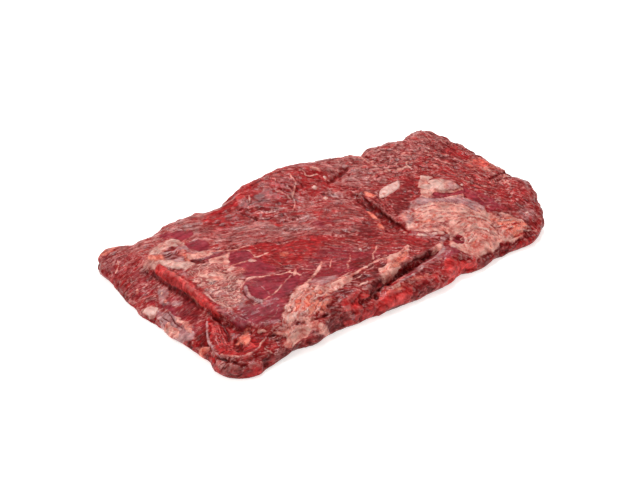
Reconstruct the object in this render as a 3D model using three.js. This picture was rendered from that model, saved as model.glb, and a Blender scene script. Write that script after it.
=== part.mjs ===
// A whole raw beef sirloin flap, lying flat as it leaves the butcher's block. Millimetres, +Z up.
// +X runs along the slab and +Y across it, away from the side with the open cut. The origin is under its middle.
//
// The meat is one piece in two leaves. The lower leaf covers the whole outline and shows as a slope at the left end
// and as a ledge along the front. The upper leaf lies on it and stops at a steep cut edge. One sheet of vertices
// makes the top of both, a stack of rings makes the ragged side, and a flat polygon closes the face that lies down.
import * as THREE from "three";

// The outline at its widest, side by side from corner to corner.
const FRONT = [
  [-156.5, -82], [-150, -89], [-140, -93.5], [-124, -91.5], [-100, -87], [-83, -89.5], [-66, -86], [-30, -88],
  [4, -90.5], [38, -90], [56, -85.5], [72, -88.5], [96, -85.5], [120, -86], [135, -85.5], [151, -75],
];
const RIGHT = [
  [151, -75], [161, -58], [170.5, -44], [174.5, -33], [171.5, -16], [173, 8], [172, 28], [172.5, 46], [170, 62],
  [165, 78], [158, 90],
];
const BACK = [
  [-167, 85.5], [-159, 90.5], [-148, 88], [-138, 82], [-130, 81.5], [-118, 82.5], [-104, 85.5], [-90, 88.5],
  [-78, 86], [-60, 83],
  [-44, 88], [-26, 91.5], [-6, 93.5], [14, 93.5], [32, 92], [52, 89.5], [70, 88], [78, 87], [84.5, 84], [91, 87],
  [98, 88.5], [107, 88.5], [117, 89.5], [128, 87], [142, 90.5], [158, 90],
];
const LEFT = [
  [-156.5, -82], [-158.5, -75], [-157, -62], [-161, -44], [-164.5, -22], [-166, -4], [-170, 10], [-169.5, 24],
  [-171, 37], [-169, 52], [-170, 66], [-170, 77], [-167, 85.5],
];

// The slab's length and width, for spacing things in from its edge.
const LENGTH = 335;
const WIDTH = 184;

// Thicknesses.
const THICKNESS = 21.8; // of both leaves together, at the middle
const LOWER_LEAF = 14; // under the cut edge of the upper leaf
const LEDGE = 16; // the lower leaf where it shows along the front
const LEFT_RIM = [[-90, 10], [-60, 7.5], [-20, 6], [30, 6.5], [58, 11], [84, 17.5]]; // its thin left end, by y
const LEFT_RUN = [-172, -130]; // where the lower leaf starts to thicken, and is whole

// Where the upper leaf thins out: by how much, and the places where that starts and is whole.
const RIGHT_END_FALL = { fall: 2.6, x: [64, 168] };
const FRONT_RIGHT_FALL = { fall: 9, x: [46, 78], y: [-38, -88], regained: 0.35, regainedX: [130, 165] };
const BACK_LEFT_FALL = { fall: 3, x: [-100, -160], y: [10, 60] };

// The cut edge of the upper leaf at the left end: x by y, and how many millimetres the step takes.
const CUT_EDGE = [
  [-90, -92], [-80, -104], [-70, -117], [-58, -127], [-40, -133], [0, -135], [28, -140], [60, -147], [90, -152],
];
const CUT_EDGE_WIDTH = [[-84, 16], [-72, 10], [-62, 3], [20, 2.6], [36, 7], [60, 24], [90, 30]];
// The edge of the upper leaf above the front ledge: y by x, and how many millimetres the step takes.
const FRONT_EDGE = [[-60, -84], [-38, -78], [-20, -74], [0, -71], [22, -68], [42, -66], [60, -62]];
const FRONT_EDGE_WIDTH = [[-60, 7], [-30, 3], [40, 3], [62, 9]];
const LEDGE_RUN = [-58, -36, 44, 62]; // where the ledge starts, is whole, starts to fade, is gone
const LIP = 2.6; // how far both edges hang over
const LIP_REACH = 7;
const LIP_BACK = [24, 44]; // y where the left edge's overhang starts to fade, and is gone

// The crease in the middle of the top, where the meat on the right stands over the meat on the left.
const CREASE = { x: 40, front: [-42, -26], back: [24, 36], drop: 4.2, rise: 1.8, left: 13, right: 26, width: 1.6 };

// Swellings and hollows of the top: centre, reach along and across a direction, and height.
const MOUNDS = [
  { name: "hump at the back", x: 4, y: 76, along: 42, across: 25, turn: -8, rise: 12.5 },
  { name: "its left shoulder", x: -40, y: 70, along: 20, across: 20, turn: 30, rise: 2.5 },
  { name: "its right shoulder", x: 58, y: 82, along: 24, across: 14, turn: 0, rise: 2.5 },
  { name: "muscle under silverskin", x: -92, y: -20, along: 30, across: 36, turn: 0, rise: 1.6 },
  { name: "hollow left of the hump", x: -64, y: 38, along: 38, across: 16, turn: -20, rise: -1.8 },
  { name: "hollow before the hump", x: -8, y: -8, along: 42, across: 28, turn: -30, rise: -1.4 },
  { name: "fat pad", x: 86, y: -14, along: 34, across: 26, turn: -30, rise: 2.2 },
  { name: "rolled upper lobe of the fat", x: 112, y: 5, along: 14, across: 9, turn: -12, rise: 3 },
  { name: "fold under that lobe", x: 104, y: -14, along: 17, across: 5, turn: -12, rise: -2.6 },
  { name: "lump at the right corner", x: 158, y: -36, along: 14, across: 20, turn: 0, rise: 2.4 },
  { name: "lump below it", x: 142, y: -68, along: 12, across: 12, turn: 0, rise: 2.6 },
  { name: "sag of the right end", x: 146, y: 34, along: 24, across: 30, turn: 0, rise: -1.4 },
  { name: "torn pocket", x: -134, y: -68, along: 8, across: 9, turn: 30, rise: -3.2 },
  { name: "scrap of meat in the pocket", x: -132, y: -73, along: 4.6, across: 3.8, turn: 0, rise: 5 },
];

// Ridges and furrows that follow a line: its points, half width and height.
const FOLDS = [
  {
    name: "rim of the torn pocket",
    points: [[-137, -38], [-146, -51], [-152, -64], [-151, -75], [-143, -82], [-131, -83], [-119, -79]],
    half: 3.6,
    rise: 3,
  },
  { name: "rounded muscle on the ledge", points: [[-14, -80], [10, -78], [34, -75], [58, -73]], half: 4.4, rise: 2 },
  { name: "furrow behind it", points: [[-40, -81], [-16, -76], [6, -72], [30, -69], [44, -68]], half: 3, rise: -3.4 },
  {
    name: "fat along the front edge",
    points: [[-104, -82], [-84, -68], [-62, -58], [-30, -57], [4, -60]],
    half: 6,
    rise: 1.6,
  },
  { name: "cut on the left of the hump", points: [[-52, 57], [-43, 50], [-32, 44]], half: 3, rise: -2.6 },
  { name: "cut on the right of the hump", points: [[30, 53], [42, 58], [54, 63]], half: 4, rise: -3 },
  { name: "notch in the back edge", points: [[80, 96], [82, 80], [84, 64]], half: 4, rise: -3 },
  { name: "split in the right end", points: [[184, -12], [162, -16], [146, -18]], half: 3.4, rise: -3 },
];

// The side, from the shoulder down: share of SHOULDER stood out and share of the rim's height.
const SHOULDER = 5.5;
const SIDE_PROFILE = [[0.52, 0.95], [0.86, 0.8], [1, 0.58], [1, 0.34], [0.9, 0.14], [0.62, 0]];
const EDGE_ROLL = 2; // how far the top has come down at the shoulder
const EDGE_ROLL_REACH = 12;

// The muscle fibres run across the slab, and bow from the left end round to the right one.
const FIBRE_SLOPE = 0.6;
const FIBRE_BOW = 0.00185; // per millimetre along the slab

// The coarse grain of the meat: how high a lump stands and how far it reaches each way.
const TOP_LUMPS = { rise: 0.9, x: 15, y: 13 };
const FIBRE_LUMPS = { rise: 0.8, across: 5.5, along: 24 };
const SIDE_LUMPS = { rise: 1.7, reach: 9, high: 7, crags: 0.6 };

// Spacing of the sheet's lines along and across, and where they are closer, as shares of the length and the width.
const COLUMN_SPACING = 0.01355;
const COLUMN_BANDS = [{ from: 0.068, to: 0.112, spacing: 0.0055 }, { from: 0.605, to: 0.632, spacing: 0.0055 }];
const ROW_SPACING = 0.0262;
const ROW_BANDS = [{ from: 0.04, to: 0.16, spacing: 0.0125 }];
const MUSCLE_RED = 0x9e3b3e;

const ramp = (from, to, t) => THREE.MathUtils.smoothstep((t - from) / (to - from), 0, 1);
const mix = THREE.MathUtils.lerp;

/** A function through [position, value] stations, level past both ends. */
function through(stations, Interpolant) {
  const between = new Interpolant(stations.map((s) => s[0]), stations.map((s) => s[1]), 1);
  const [first, last] = [stations[0][0], stations.at(-1)[0]];
  return (t) => between.evaluate(THREE.MathUtils.clamp(t, first, last))[0];
}

const leftRim = through(LEFT_RIM, THREE.CubicInterpolant);
const cutEdge = through(CUT_EDGE, THREE.CubicInterpolant);
const cutEdgeWidth = through(CUT_EDGE_WIDTH, THREE.LinearInterpolant);
const frontEdge = through(FRONT_EDGE, THREE.CubicInterpolant);
const frontEdgeWidth = through(FRONT_EDGE_WIDTH, THREE.LinearInterpolant);

const curveThrough = (points) => new THREE.SplineCurve(points.map(([x, y]) => new THREE.Vector2(x, y)));

/** A fixed pseudo-random value from 0 to 1 for a lattice point. */
function latticeValue(i, j, k) {
  let h = Math.imul(i, 374761393) ^ Math.imul(j, 668265263) ^ Math.imul(k, 974634777);
  h = Math.imul(h ^ (h >>> 13), 1274126177);
  return ((h ^ (h >>> 16)) >>> 0) / 4294967295;
}

/** Smooth noise from -1 to 1, one swelling to a unit of distance. */
function noise(x, y, z) {
  const [i, j, k] = [x, y, z].map(Math.floor);
  const [u, v, w] = [x - i, y - j, z - k].map((t) => t * t * (3 - 2 * t));
  let sum = 0;
  for (let corner = 0; corner < 8; corner++) {
    const [a, b, c] = [corner & 1, (corner >> 1) & 1, corner >> 2];
    sum += (a ? u : 1 - u) * (b ? v : 1 - v) * (c ? w : 1 - w) * latticeValue(i + a, j + b, k + c);
  }
  return 2 * sum - 1;
}

/** Coordinates across and along the muscle fibres. */
function fibreFrame(x, y) {
  const lean = Math.hypot(1, FIBRE_SLOPE + 2 * FIBRE_BOW * x);
  return { across: (y + FIBRE_SLOPE * x + FIBRE_BOW * x * x) / lean, along: x * lean };
}

/** Height of an oval swelling. */
function moundHeight({ x: cx, y: cy, along, across, turn, rise }, x, y) {
  const angle = THREE.MathUtils.degToRad(turn);
  const u = (x - cx) * Math.cos(angle) + (y - cy) * Math.sin(angle);
  const v = (y - cy) * Math.cos(angle) - (x - cx) * Math.sin(angle);
  return rise * Math.exp(-((u / along) ** 2) - (v / across) ** 2);
}

/** A fold's centre line as close points, each with its share of the fold's height. */
function foldLine(points) {
  const steps = 10 * points.length;
  const share = (i) => Math.sqrt(Math.sin((Math.PI * (i + 1)) / (steps + 2)));
  return curveThrough(points).getPoints(steps).map((p, i) => ({ x: p.x, y: p.y, share: share(i) }));
}

const FOLD_LINES = FOLDS.map((fold) => ({ ...fold, line: foldLine(fold.points) }));

/** Height of a ridge, or depth of a furrow. */
function foldHeight({ line, half, rise }, x, y) {
  let best = 0;
  for (const p of line) {
    const squared = ((x - p.x) ** 2 + (y - p.y) ** 2) / half ** 2;
    if (squared < 9) best = Math.max(best, p.share * Math.exp(-squared));
  }
  return rise * best;
}

/** The lower leaf's top, thinning out to the left and level along the front. */
function lowerLeafTop(x, y) {
  const slope = mix(leftRim(y), LOWER_LEAF, ramp(...LEFT_RUN, x));
  return mix(slope, LEDGE, ramp(LEDGE_RUN[0], LEDGE_RUN[1], x));
}

/** The upper leaf's top without its small relief. */
function upperLeafTop(x, y) {
  const [right, front, back] = [RIGHT_END_FALL, FRONT_RIGHT_FALL, BACK_LEFT_FALL];
  const regained = 1 - front.regained * ramp(...front.regainedX, x);
  return (
    THICKNESS -
    right.fall * ramp(...right.x, x) -
    front.fall * ramp(...front.x, x) * ramp(...front.y, y) * regained -
    back.fall * ramp(...back.x, x) * ramp(...back.y, y)
  );
}

/** Height lost or gained beside the crease. */
function creaseHeight(x, y) {
  const run = ramp(...CREASE.front, y) * (1 - ramp(...CREASE.back, y));
  const past = x - CREASE.x;
  const side = ramp(-CREASE.width, CREASE.width, past);
  const low = -CREASE.drop * Math.exp(-((past / CREASE.left) ** 2));
  const high = CREASE.rise * Math.exp(-((past / CREASE.right) ** 2));
  return run * mix(low, high, side);
}

/** Shares of the upper leaf at a place: past the cut edge at the left end, and past the edge above the ledge. */
function leafShares(x, y) {
  const ledge = ramp(LEDGE_RUN[0], LEDGE_RUN[1], x) * (1 - ramp(LEDGE_RUN[2], LEDGE_RUN[3], x));
  const pastCut = x - cutEdge(y);
  const pastFront = y - frontEdge(x);
  const cut = ramp(-cutEdgeWidth(y) / 2, cutEdgeWidth(y) / 2, pastCut);
  const front = ramp(-frontEdgeWidth(x) / 2, frontEdgeWidth(x) / 2, pastFront);
  return { ledge, pastCut, pastFront, cut, front: mix(1, front, ledge) };
}

/** Height of the top at a place in plan. */
function topHeight(x, y) {
  const { cut, front } = leafShares(x, y);
  let z = mix(lowerLeafTop(x, y), upperLeafTop(x, y), cut * front) + creaseHeight(x, y);
  for (const mound of MOUNDS) z += moundHeight(mound, x, y);
  for (const fold of FOLD_LINES) z += foldHeight(fold, x, y);
  const { across, along } = fibreFrame(x, y);
  z += TOP_LUMPS.rise * noise(x / TOP_LUMPS.x, y / TOP_LUMPS.y, 3.5);
  z += FIBRE_LUMPS.rise * noise(across / FIBRE_LUMPS.across, along / FIBRE_LUMPS.along, 7.5);
  return z;
}

/** How far the upper leaf's edges lean out over the lower leaf at a place. */
function lipShift(x, y) {
  const { ledge, pastCut, pastFront, cut, front } = leafShares(x, y);
  const overLeft = cut * Math.exp(-((pastCut / LIP_REACH) ** 2)) * (1 - ramp(...LIP_BACK, y));
  const overFront = front * ledge * Math.exp(-((pastFront / LIP_REACH) ** 2));
  return [-LIP * overLeft, -LIP * overFront];
}

/** Shares from 0 to 1 for grid lines, closer together in the named bands. */
function gridShares(spacing, bands) {
  const lines = [0];
  while (lines.at(-1) < 1) {
    const here = lines.at(-1);
    const band = bands.find(({ from, to }) => here >= from && here < to);
    lines.push(here + (band ? band.spacing : spacing));
  }
  return lines.map((t) => t / lines.at(-1));
}

const COLUMN_SHARES = gridShares(COLUMN_SPACING, COLUMN_BANDS);
const ROW_SHARES = gridShares(ROW_SPACING, ROW_BANDS);
const COLUMNS = COLUMN_SHARES.length;
const ROWS = ROW_SHARES.length;

/** A side of the outline, brought in by the shoulder, as a point for each share of its length. */
function shoulderLine(points, shares, turn) {
  const curve = curveThrough(points);
  return shares.map((share) => {
    const tangent = curve.getTangentAt(share);
    const inward = new THREE.Vector2(-tangent.y, tangent.x).multiplyScalar(turn * SHOULDER);
    return curve.getPointAt(share).add(inward);
  });
}

/** The sheet's places in plan, row by row from the front: a patch stretched between the four sides. */
function sheetPlan() {
  const [front, back] = [shoulderLine(FRONT, COLUMN_SHARES, 1), shoulderLine(BACK, COLUMN_SHARES, -1)];
  const [left, right] = [shoulderLine(LEFT, ROW_SHARES, -1), shoulderLine(RIGHT, ROW_SHARES, 1)];
  const corner = (a, b) => a.clone().add(b).multiplyScalar(0.5);
  const frontLeft = corner(front[0], left[0]);
  const frontRight = corner(front.at(-1), right[0]);
  const backLeft = corner(back[0], left.at(-1));
  const backRight = corner(back.at(-1), right.at(-1));
  [front[0], left[0]] = [frontLeft, frontLeft];
  [front[COLUMNS - 1], right[0]] = [frontRight, frontRight];
  [back[0], left[ROWS - 1]] = [backLeft, backLeft];
  [back[COLUMNS - 1], right[ROWS - 1]] = [backRight, backRight];
  return ROW_SHARES.flatMap((v, j) =>
    COLUMN_SHARES.map((u, i) => {
      const between = front[i].clone().lerp(back[i], v).add(left[j].clone().lerp(right[j], u));
      const corners = frontLeft.clone().lerp(frontRight, u).lerp(backLeft.clone().lerp(backRight, u), v);
      return between.sub(corners);
    }),
  );
}

/** The sheet's vertices, row by row from the front. */
function sheetVertices() {
  return sheetPlan().map(({ x, y }, n) => {
    const [u, v] = [COLUMN_SHARES[n % COLUMNS], ROW_SHARES[Math.floor(n / COLUMNS)]];
    const toEnd = Math.min(u, 1 - u) * LENGTH;
    const toSide = Math.min(v, 1 - v) * WIDTH;
    const outside = 1 - Math.min(1, Math.min(toEnd, toSide) / EDGE_ROLL_REACH);
    const [lipX, lipY] = lipShift(x, y);
    return new THREE.Vector3(x + lipX, y + lipY, topHeight(x, y) - EDGE_ROLL * outside ** 2);
  });
}

/** Indices of the sheet's border, anticlockwise seen from above. */
function borderIndices() {
  const border = [];
  for (let i = 0; i < COLUMNS - 1; i++) border.push(i);
  for (let j = 0; j < ROWS - 1; j++) border.push(j * COLUMNS + COLUMNS - 1);
  for (let i = COLUMNS - 1; i > 0; i--) border.push((ROWS - 1) * COLUMNS + i);
  for (let j = ROWS - 1; j > 0; j--) border.push(j * COLUMNS);
  return border;
}

/** The rings of the side, from the shoulder down to the face that lies on the table. */
function sideRings(border) {
  const count = border.length;
  const outward = border.map((_, n) => {
    const [before, after] = [border.at(n - 2), border[(n + 2) % count]];
    return new THREE.Vector2(after.y - before.y, before.x - after.x).normalize();
  });
  const { rise, reach, high: tall, crags } = SIDE_LUMPS;
  return SIDE_PROFILE.map(([out, high], ring) =>
    border.map((top, n) => {
      const onTable = ring === SIDE_PROFILE.length - 1;
      const height = top.z * high;
      const lumps = noise(top.x / reach, top.y / reach, height / tall);
      const small = noise((2 * top.x) / reach, (2 * top.y) / reach, 9 + height / tall);
      const stand = SHOULDER * out + rise * (lumps + crags * small) * (onTable ? 0.5 : 1);
      return new THREE.Vector3(top.x + outward[n].x * stand, top.y + outward[n].y * stand, onTable ? 0 : height);
    }),
  );
}

/** The closed surface of the meat. */
function flapGeometry() {
  const vertices = sheetVertices();
  const faces = [];
  for (let j = 0; j < ROWS - 1; j++) {
    for (let i = 0; i < COLUMNS - 1; i++) {
      const a = j * COLUMNS + i;
      faces.push([a, a + 1, a + COLUMNS + 1], [a, a + COLUMNS + 1, a + COLUMNS]);
    }
  }
  let upper = borderIndices();
  for (const ring of sideRings(upper.map((n) => vertices[n]))) {
    const lower = ring.map((v) => vertices.push(v) - 1);
    lower.forEach((_, n) => {
      const next = (n + 1) % lower.length;
      faces.push([lower[n], lower[next], upper[next]], [lower[n], upper[next], upper[n]]);
    });
    upper = lower;
  }
  const base = upper.map((n) => new THREE.Vector2(vertices[n].x, vertices[n].y));
  for (const [a, b, c] of THREE.ShapeUtils.triangulateShape(base, [])) faces.push([upper[a], upper[c], upper[b]]);

  const geometry = new THREE.BufferGeometry().setFromPoints(vertices).setIndex(faces.flat());
  geometry.computeBoundingBox();
  const { min, max } = geometry.boundingBox;
  geometry.translate(-(min.x + max.x) / 2, -(min.y + max.y) / 2, 0);
  geometry.computeVertexNormals();
  return geometry;
}

const meat = new THREE.MeshStandardMaterial({ color: MUSCLE_RED, roughness: 0.42, metalness: 0 });
const flap = new THREE.Mesh(flapGeometry(), meat);
flap.name = "sirloin_flap";

const sirloinFlap = new THREE.Group();
sirloinFlap.add(flap);
export default sirloinFlap;
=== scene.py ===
"""A whole raw beef sirloin flap on a pale table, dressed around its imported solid.

Places on the meat are in millimetres in the model's own frame: +X along the slab, +Y away from the side
with the open cut, +Z up. Everything handed to Blender is in metres.
"""
from __future__ import annotations

import logging
import math
from dataclasses import dataclass, replace
from enum import Enum
from typing import Optional, Sequence, Union

import bmesh
import bpy
import numpy as np
from mathutils import Matrix, Vector
from mathutils.bvhtree import BVHTree


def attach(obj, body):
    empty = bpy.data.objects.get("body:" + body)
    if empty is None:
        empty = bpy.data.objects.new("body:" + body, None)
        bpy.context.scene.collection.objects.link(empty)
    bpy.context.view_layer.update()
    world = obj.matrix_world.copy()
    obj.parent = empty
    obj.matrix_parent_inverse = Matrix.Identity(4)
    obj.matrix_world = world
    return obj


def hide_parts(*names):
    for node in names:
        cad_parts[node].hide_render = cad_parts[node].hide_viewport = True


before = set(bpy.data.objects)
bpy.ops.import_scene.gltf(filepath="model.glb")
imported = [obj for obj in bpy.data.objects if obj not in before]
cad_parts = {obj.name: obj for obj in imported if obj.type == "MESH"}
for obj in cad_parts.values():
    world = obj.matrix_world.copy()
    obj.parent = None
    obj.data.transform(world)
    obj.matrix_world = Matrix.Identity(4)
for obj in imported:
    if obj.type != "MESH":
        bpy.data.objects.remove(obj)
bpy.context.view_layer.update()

MM = 0.001
NODE = "sirloin_flap"
BODY = "root"
ABOVE_ALL = 80.0  # A height over everything on the meat, in millimetres.
JUICE_IOR = 1.36  # Meat juice and melted fat bend light a little more than water.
log = logging.getLogger(NODE)

Place = tuple[float, float]
Reach = tuple[np.ndarray, np.ndarray]
Tree = bpy.types.NodeTree
Socket = bpy.types.NodeSocket
NodeValue = Union[float, Sequence[float], Socket]


class Tissue(Enum):
    """What shows at a place on the meat, painted sheen and shade among them. Each one but MUSCLE is a painted
    attribute of that name.
    """

    MUSCLE = "muscle"
    # Pale grey-pink fine grain with a painted sheen.
    GRAIN_AND_SHEEN = "veil"
    SHADE = "shade"
    WINDOW = "window"
    FRESH = "fresh"
    CUT = "cut"
    FILM = "film"
    FAT = "fat"
    CREAM = "cream"
    ORANGE = "orange"
    NET = "net"
    # Near-black red: painted shade in crevices, cracks, folds, gaps and undercuts, and along the foot of the
    # walls.
    DEEP_SHADE = "deep"


PAINTED = [tissue for tissue in Tissue if tissue is not Tissue.MUSCLE]


class Slot(Enum):
    """The record's material slots."""

    RAW_BEEF = "raw_beef"
    FAT = "fat"


class Face(Enum):
    """The side that a mark is drawn on: the axes of its places, the way that it faces and its end."""

    TOP = (0, 1, 2, 1.0, 99.0)
    FRONT = (0, 2, 1, -1.0, -54.0)
    LEFT = (1, 2, 0, -1.0, -122.0)


# Numbers on the surface: noise, distances and soft steps.


def soft_step(start: float, end: float, values: np.ndarray) -> np.ndarray:
    """A soft step.

    Args:
        start: The value at which it is 0.
        end: The value at which it is 1.
        values: The values to step.

    Returns:
        Shares from 0 to 1.
    """
    share = np.clip((values - start) / (end - start), 0.0, 1.0)
    return share * share * (3.0 - 2.0 * share)


def lumps(points: np.ndarray, size: Sequence[float], seed: int) -> np.ndarray:
    """Smooth noise with one swelling to each size.

    Args:
        points: Places, one to a row.
        size: How far a swelling reaches along each column.
        seed: Which pattern to give.

    Returns:
        Values from -1 to 1.
    """
    scaled = points / np.asarray(size, dtype=float)
    cell = np.floor(scaled).astype(np.int64)
    part = scaled - cell
    fade = part**3 * (part * (part * 6.0 - 15.0) + 10.0)
    primes = np.array([374761393, 668265263, 974634777], dtype=np.int64)[: scaled.shape[1]]
    total = np.zeros(len(points))
    for corner in range(2 ** scaled.shape[1]):
        step = np.array([(corner >> axis) & 1 for axis in range(scaled.shape[1])])
        mixed = ((cell + step) * primes).sum(axis=1) + seed * 2246822519
        mixed = (mixed ^ (mixed >> 13)) * 1274126177 & 0xFFFFFFFF
        mixed = (mixed ^ (mixed >> 15)) * 2654435761 & 0xFFFFFFFF
        value = ((mixed ^ (mixed >> 16)) & 0xFFFF) / 32767.5 - 1.0
        total += value * np.where(step, fade, 1.0 - fade).prod(axis=1)
    return total


def cobbles(points: np.ndarray, size: Sequence[float], seed: int) -> tuple[np.ndarray, np.ndarray]:
    """Cells round scattered middles, like torn lumps pressed together.

    Args:
        points: Places, one to a row.
        size: How far a cell reaches along each column.
        seed: Which pattern to give.

    Returns:
        For each place how far it is from its cell's middle, and from the crack round it, in cells.
    """
    scaled = points / np.asarray(size, dtype=float)
    cell = np.floor(scaled).astype(np.int64)
    primes = np.array([374761393, 668265263, 974634777], dtype=np.int64)
    first, second = np.full(len(points), 9.0), np.full(len(points), 9.0)
    for step in np.ndindex(3, 3, 3):
        home = cell + np.array(step) - 1
        mixed = (home * primes).sum(axis=1) + seed * 2246822519
        away = np.zeros(len(points))
        for axis in range(3):
            mixed = (mixed ^ (mixed >> 13)) * 1274126177 & 0xFFFFFFFF
            place = home[:, axis] + ((mixed ^ (mixed >> 16)) & 0xFFFF) / 65535.0
            away += (place - scaled[:, axis]) ** 2
        away = np.sqrt(away)
        second = np.minimum(second, np.maximum(first, away))
        first = np.minimum(first, away)
    return first, second - first


def side_share(normals: np.ndarray) -> np.ndarray:
    """How far each vertex belongs to a side, by the way it faces: 0 on the top, 1 on a wall."""
    return 1.0 - soft_step(0.25, 0.75, normals[:, 2])


def smooth_path(points: Sequence[Place], closed: bool = False, steps: int = 5) -> np.ndarray:
    """A smooth line through given points.

    Args:
        points: The points it goes through.
        closed: Whether it ends where it starts.
        steps: How many short pieces stand between two points.

    Returns:
        Its points, one to a row.
    """
    knots = np.asarray(points, dtype=float)
    ends = (knots[-1:], knots[:2]) if closed else (2 * knots[:1] - knots[1:2], 2 * knots[-1:] - knots[-2:-1])
    padded = np.vstack([ends[0], knots, ends[1]])
    pieces = []
    for before, start, end, after in zip(padded, padded[1:], padded[2:], padded[3:]):
        t = np.linspace(0.0, 1.0, steps, endpoint=False)[:, None]
        pieces.append(
            0.5 * (2 * start + (end - before) * t + (2 * before - 5 * start + 4 * end - after) * t**2
                   + (3 * start - before - 3 * end + after) * t**3)
        )
    if not closed:
        pieces.append(knots[-1:])
    return np.vstack(pieces)


def line_distance(places: np.ndarray, path: np.ndarray, closed: bool = False) -> np.ndarray:
    """How far places in plan are from a line.

    Args:
        places: The places, one to a row.
        path: The line's points.
        closed: Whether its last point joins its first.

    Returns:
        A distance for each place.
    """
    best = np.full(len(places), np.inf)
    ends = np.roll(path, -1, axis=0) if closed else path[1:]
    for start, end in zip(path, ends):
        run = end - start
        share = np.clip((places - start) @ run / max(run @ run, 1e-9), 0.0, 1.0)
        best = np.minimum(best, np.hypot(*(places - start - share[:, None] * run).T))
    return best


def inside_distance(places: np.ndarray, path: np.ndarray) -> np.ndarray:
    """How far places in plan are inside a closed line.

    Args:
        places: The places, one to a row.
        path: The closed line's points.

    Returns:
        A distance for each place, negative outside.
    """
    x, y = places.T
    inside = np.zeros(len(places), dtype=bool)
    for (ax, ay), (bx, by) in zip(path, np.roll(path, -1, axis=0)):
        crosses = (ay > y) != (by > y)
        inside ^= crosses & (x < (bx - ax) * (y - ay) / (by - ay if by != ay else 1e-9) + ax)
    return np.where(inside, 1.0, -1.0) * line_distance(places, path, closed=True)


# What is seen on the meat, drawn in plan or on one of its sides.


@dataclass(frozen=True)
class Mark:
    """Something drawn on the meat.

    Attributes:
        name: What it is.
        tissue: What shows there.
        strength: How fully it covers what is under it.
        rise: How far it stands out, or in below 0, in millimetres.
        level: The lowest and highest place that it reaches, in millimetres.
        stray: How far its edges stray from their smooth line, in millimetres.
        wear: How patchy it is, from 0 to 1.
        calm: How far it smooths away the fibres' relief, from 0 to 1.
        face: The side that it is drawn on.
    """

    name: str
    tissue: Tissue
    strength: float = 1.0
    rise: float = 0.0
    level: Place = (-1.0, 99.0)
    stray: float = 0.7
    wear: float = 1.0
    calm: float = 0.0
    face: Face = Face.TOP

    def reach(self) -> Reach:
        """The lowest and highest corner of the mark in plan."""
        raise NotImplementedError

    def cover(self, places: np.ndarray) -> np.ndarray:
        """Its cover from 0 to 1 at each place in plan."""
        raise NotImplementedError


@dataclass(frozen=True)
class Strand(Mark):
    """A line, such as a strand of connective tissue or a cut.

    Attributes:
        points: What it goes through.
        width: Its width where it is widest, in millimetres.
        soft: How wide each of its edges is, in millimetres.
    """

    points: tuple[Place, ...] = ()
    width: float = 2.2
    soft: float = 1.0

    def reach(self) -> Reach:
        """The lowest and highest corner of the mark in plan."""
        knots = np.asarray(self.points)
        margin = self.width + self.soft + 4.0
        return knots.min(axis=0) - margin, knots.max(axis=0) + margin

    def cover(self, places: np.ndarray) -> np.ndarray:
        """Its cover from 0 to 1 at each place in plan."""
        away = line_distance(places, smooth_path(self.points))
        return 1.0 - soft_step(self.width / 2 - self.soft / 2, self.width / 2 + self.soft / 2, away)


@dataclass(frozen=True)
class Patch(Mark):
    """An area with a smooth outline.

    Attributes:
        edge: What its edge goes through.
        soft: How wide its edge is, in millimetres.
    """

    edge: tuple[Place, ...] = ()
    soft: float = 3.0
    stray: float = 1.8

    def reach(self) -> Reach:
        """The lowest and highest corner of the mark in plan."""
        knots = np.asarray(self.edge)
        margin = self.soft + 5.0
        return knots.min(axis=0) - margin, knots.max(axis=0) + margin

    def cover(self, places: np.ndarray) -> np.ndarray:
        """Its cover from 0 to 1 at each place in plan."""
        within = inside_distance(places, smooth_path(self.edge, closed=True))
        within = within / (1.05 + 0.95 * lumps(places, (15.0, 15.0), 47))
        return soft_step(-self.soft / 2, self.soft / 2, within)


@dataclass(frozen=True)
class Sheaf(Mark):
    """Torn strands side by side, like pulled tissue.

    Attributes:
        first: What the strand on one side goes through.
        last: What the one on the other side goes through, with as many points.
        count: How many there are.
        width: How wide each one is, in millimetres.
    """

    first: tuple[Place, ...] = ()
    last: tuple[Place, ...] = ()
    count: int = 4
    width: float = 0.9
    stray: float = 1.5

    def reach(self) -> Reach:
        """The lowest and highest corner of the mark in plan."""
        knots = np.asarray(self.first + self.last)
        return knots.min(axis=0) - self.width - 5.0, knots.max(axis=0) + self.width + 5.0

    def cover(self, places: np.ndarray) -> np.ndarray:
        """Its cover from 0 to 1 at each place in plan."""
        best = np.zeros(len(places))
        for number in range(self.count):
            share = number / max(self.count - 1, 1)
            path = smooth_path((1 - share) * np.asarray(self.first) + share * np.asarray(self.last))
            wide = self.width * (0.75 + 0.75 * lumps(places, (6.0, 6.0), 70 + number))
            away = line_distance(places, path) / np.maximum(wide, 0.05)
            best = np.maximum(best, 1.0 - soft_step(0.2, 1.0, away))
        return best


@dataclass(frozen=True)
class Spot(Mark):
    """An oval spot.

    Attributes:
        at: Its middle.
        size: Its length and width, in millimetres.
        turn: How far its length is turned from +X, in degrees.
    """

    at: Place = (0.0, 0.0)
    size: Place = (3.0, 2.0)
    turn: float = 0.0

    def reach(self) -> Reach:
        """The lowest and highest corner of the mark in plan."""
        middle = np.asarray(self.at)
        return middle - 1.5 * max(self.size), middle + 1.5 * max(self.size)

    def cover(self, places: np.ndarray) -> np.ndarray:
        """Its cover from 0 to 1 at each place in plan."""
        angle = math.radians(self.turn)
        x, y = (places - np.asarray(self.at)).T
        along = (x * math.cos(angle) + y * math.sin(angle)) / (self.size[0] / 2)
        across = (y * math.cos(angle) - x * math.sin(angle)) / (self.size[1] / 2)
        return 1.0 - soft_step(0.6, 1.35, np.hypot(along, across))


MUSCLE, GRAIN_AND_SHEEN, SHADE, WINDOW, FRESH, CUT, FILM, FAT, CREAM, ORANGE, NET, DEEP_SHADE = Tissue

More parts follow.
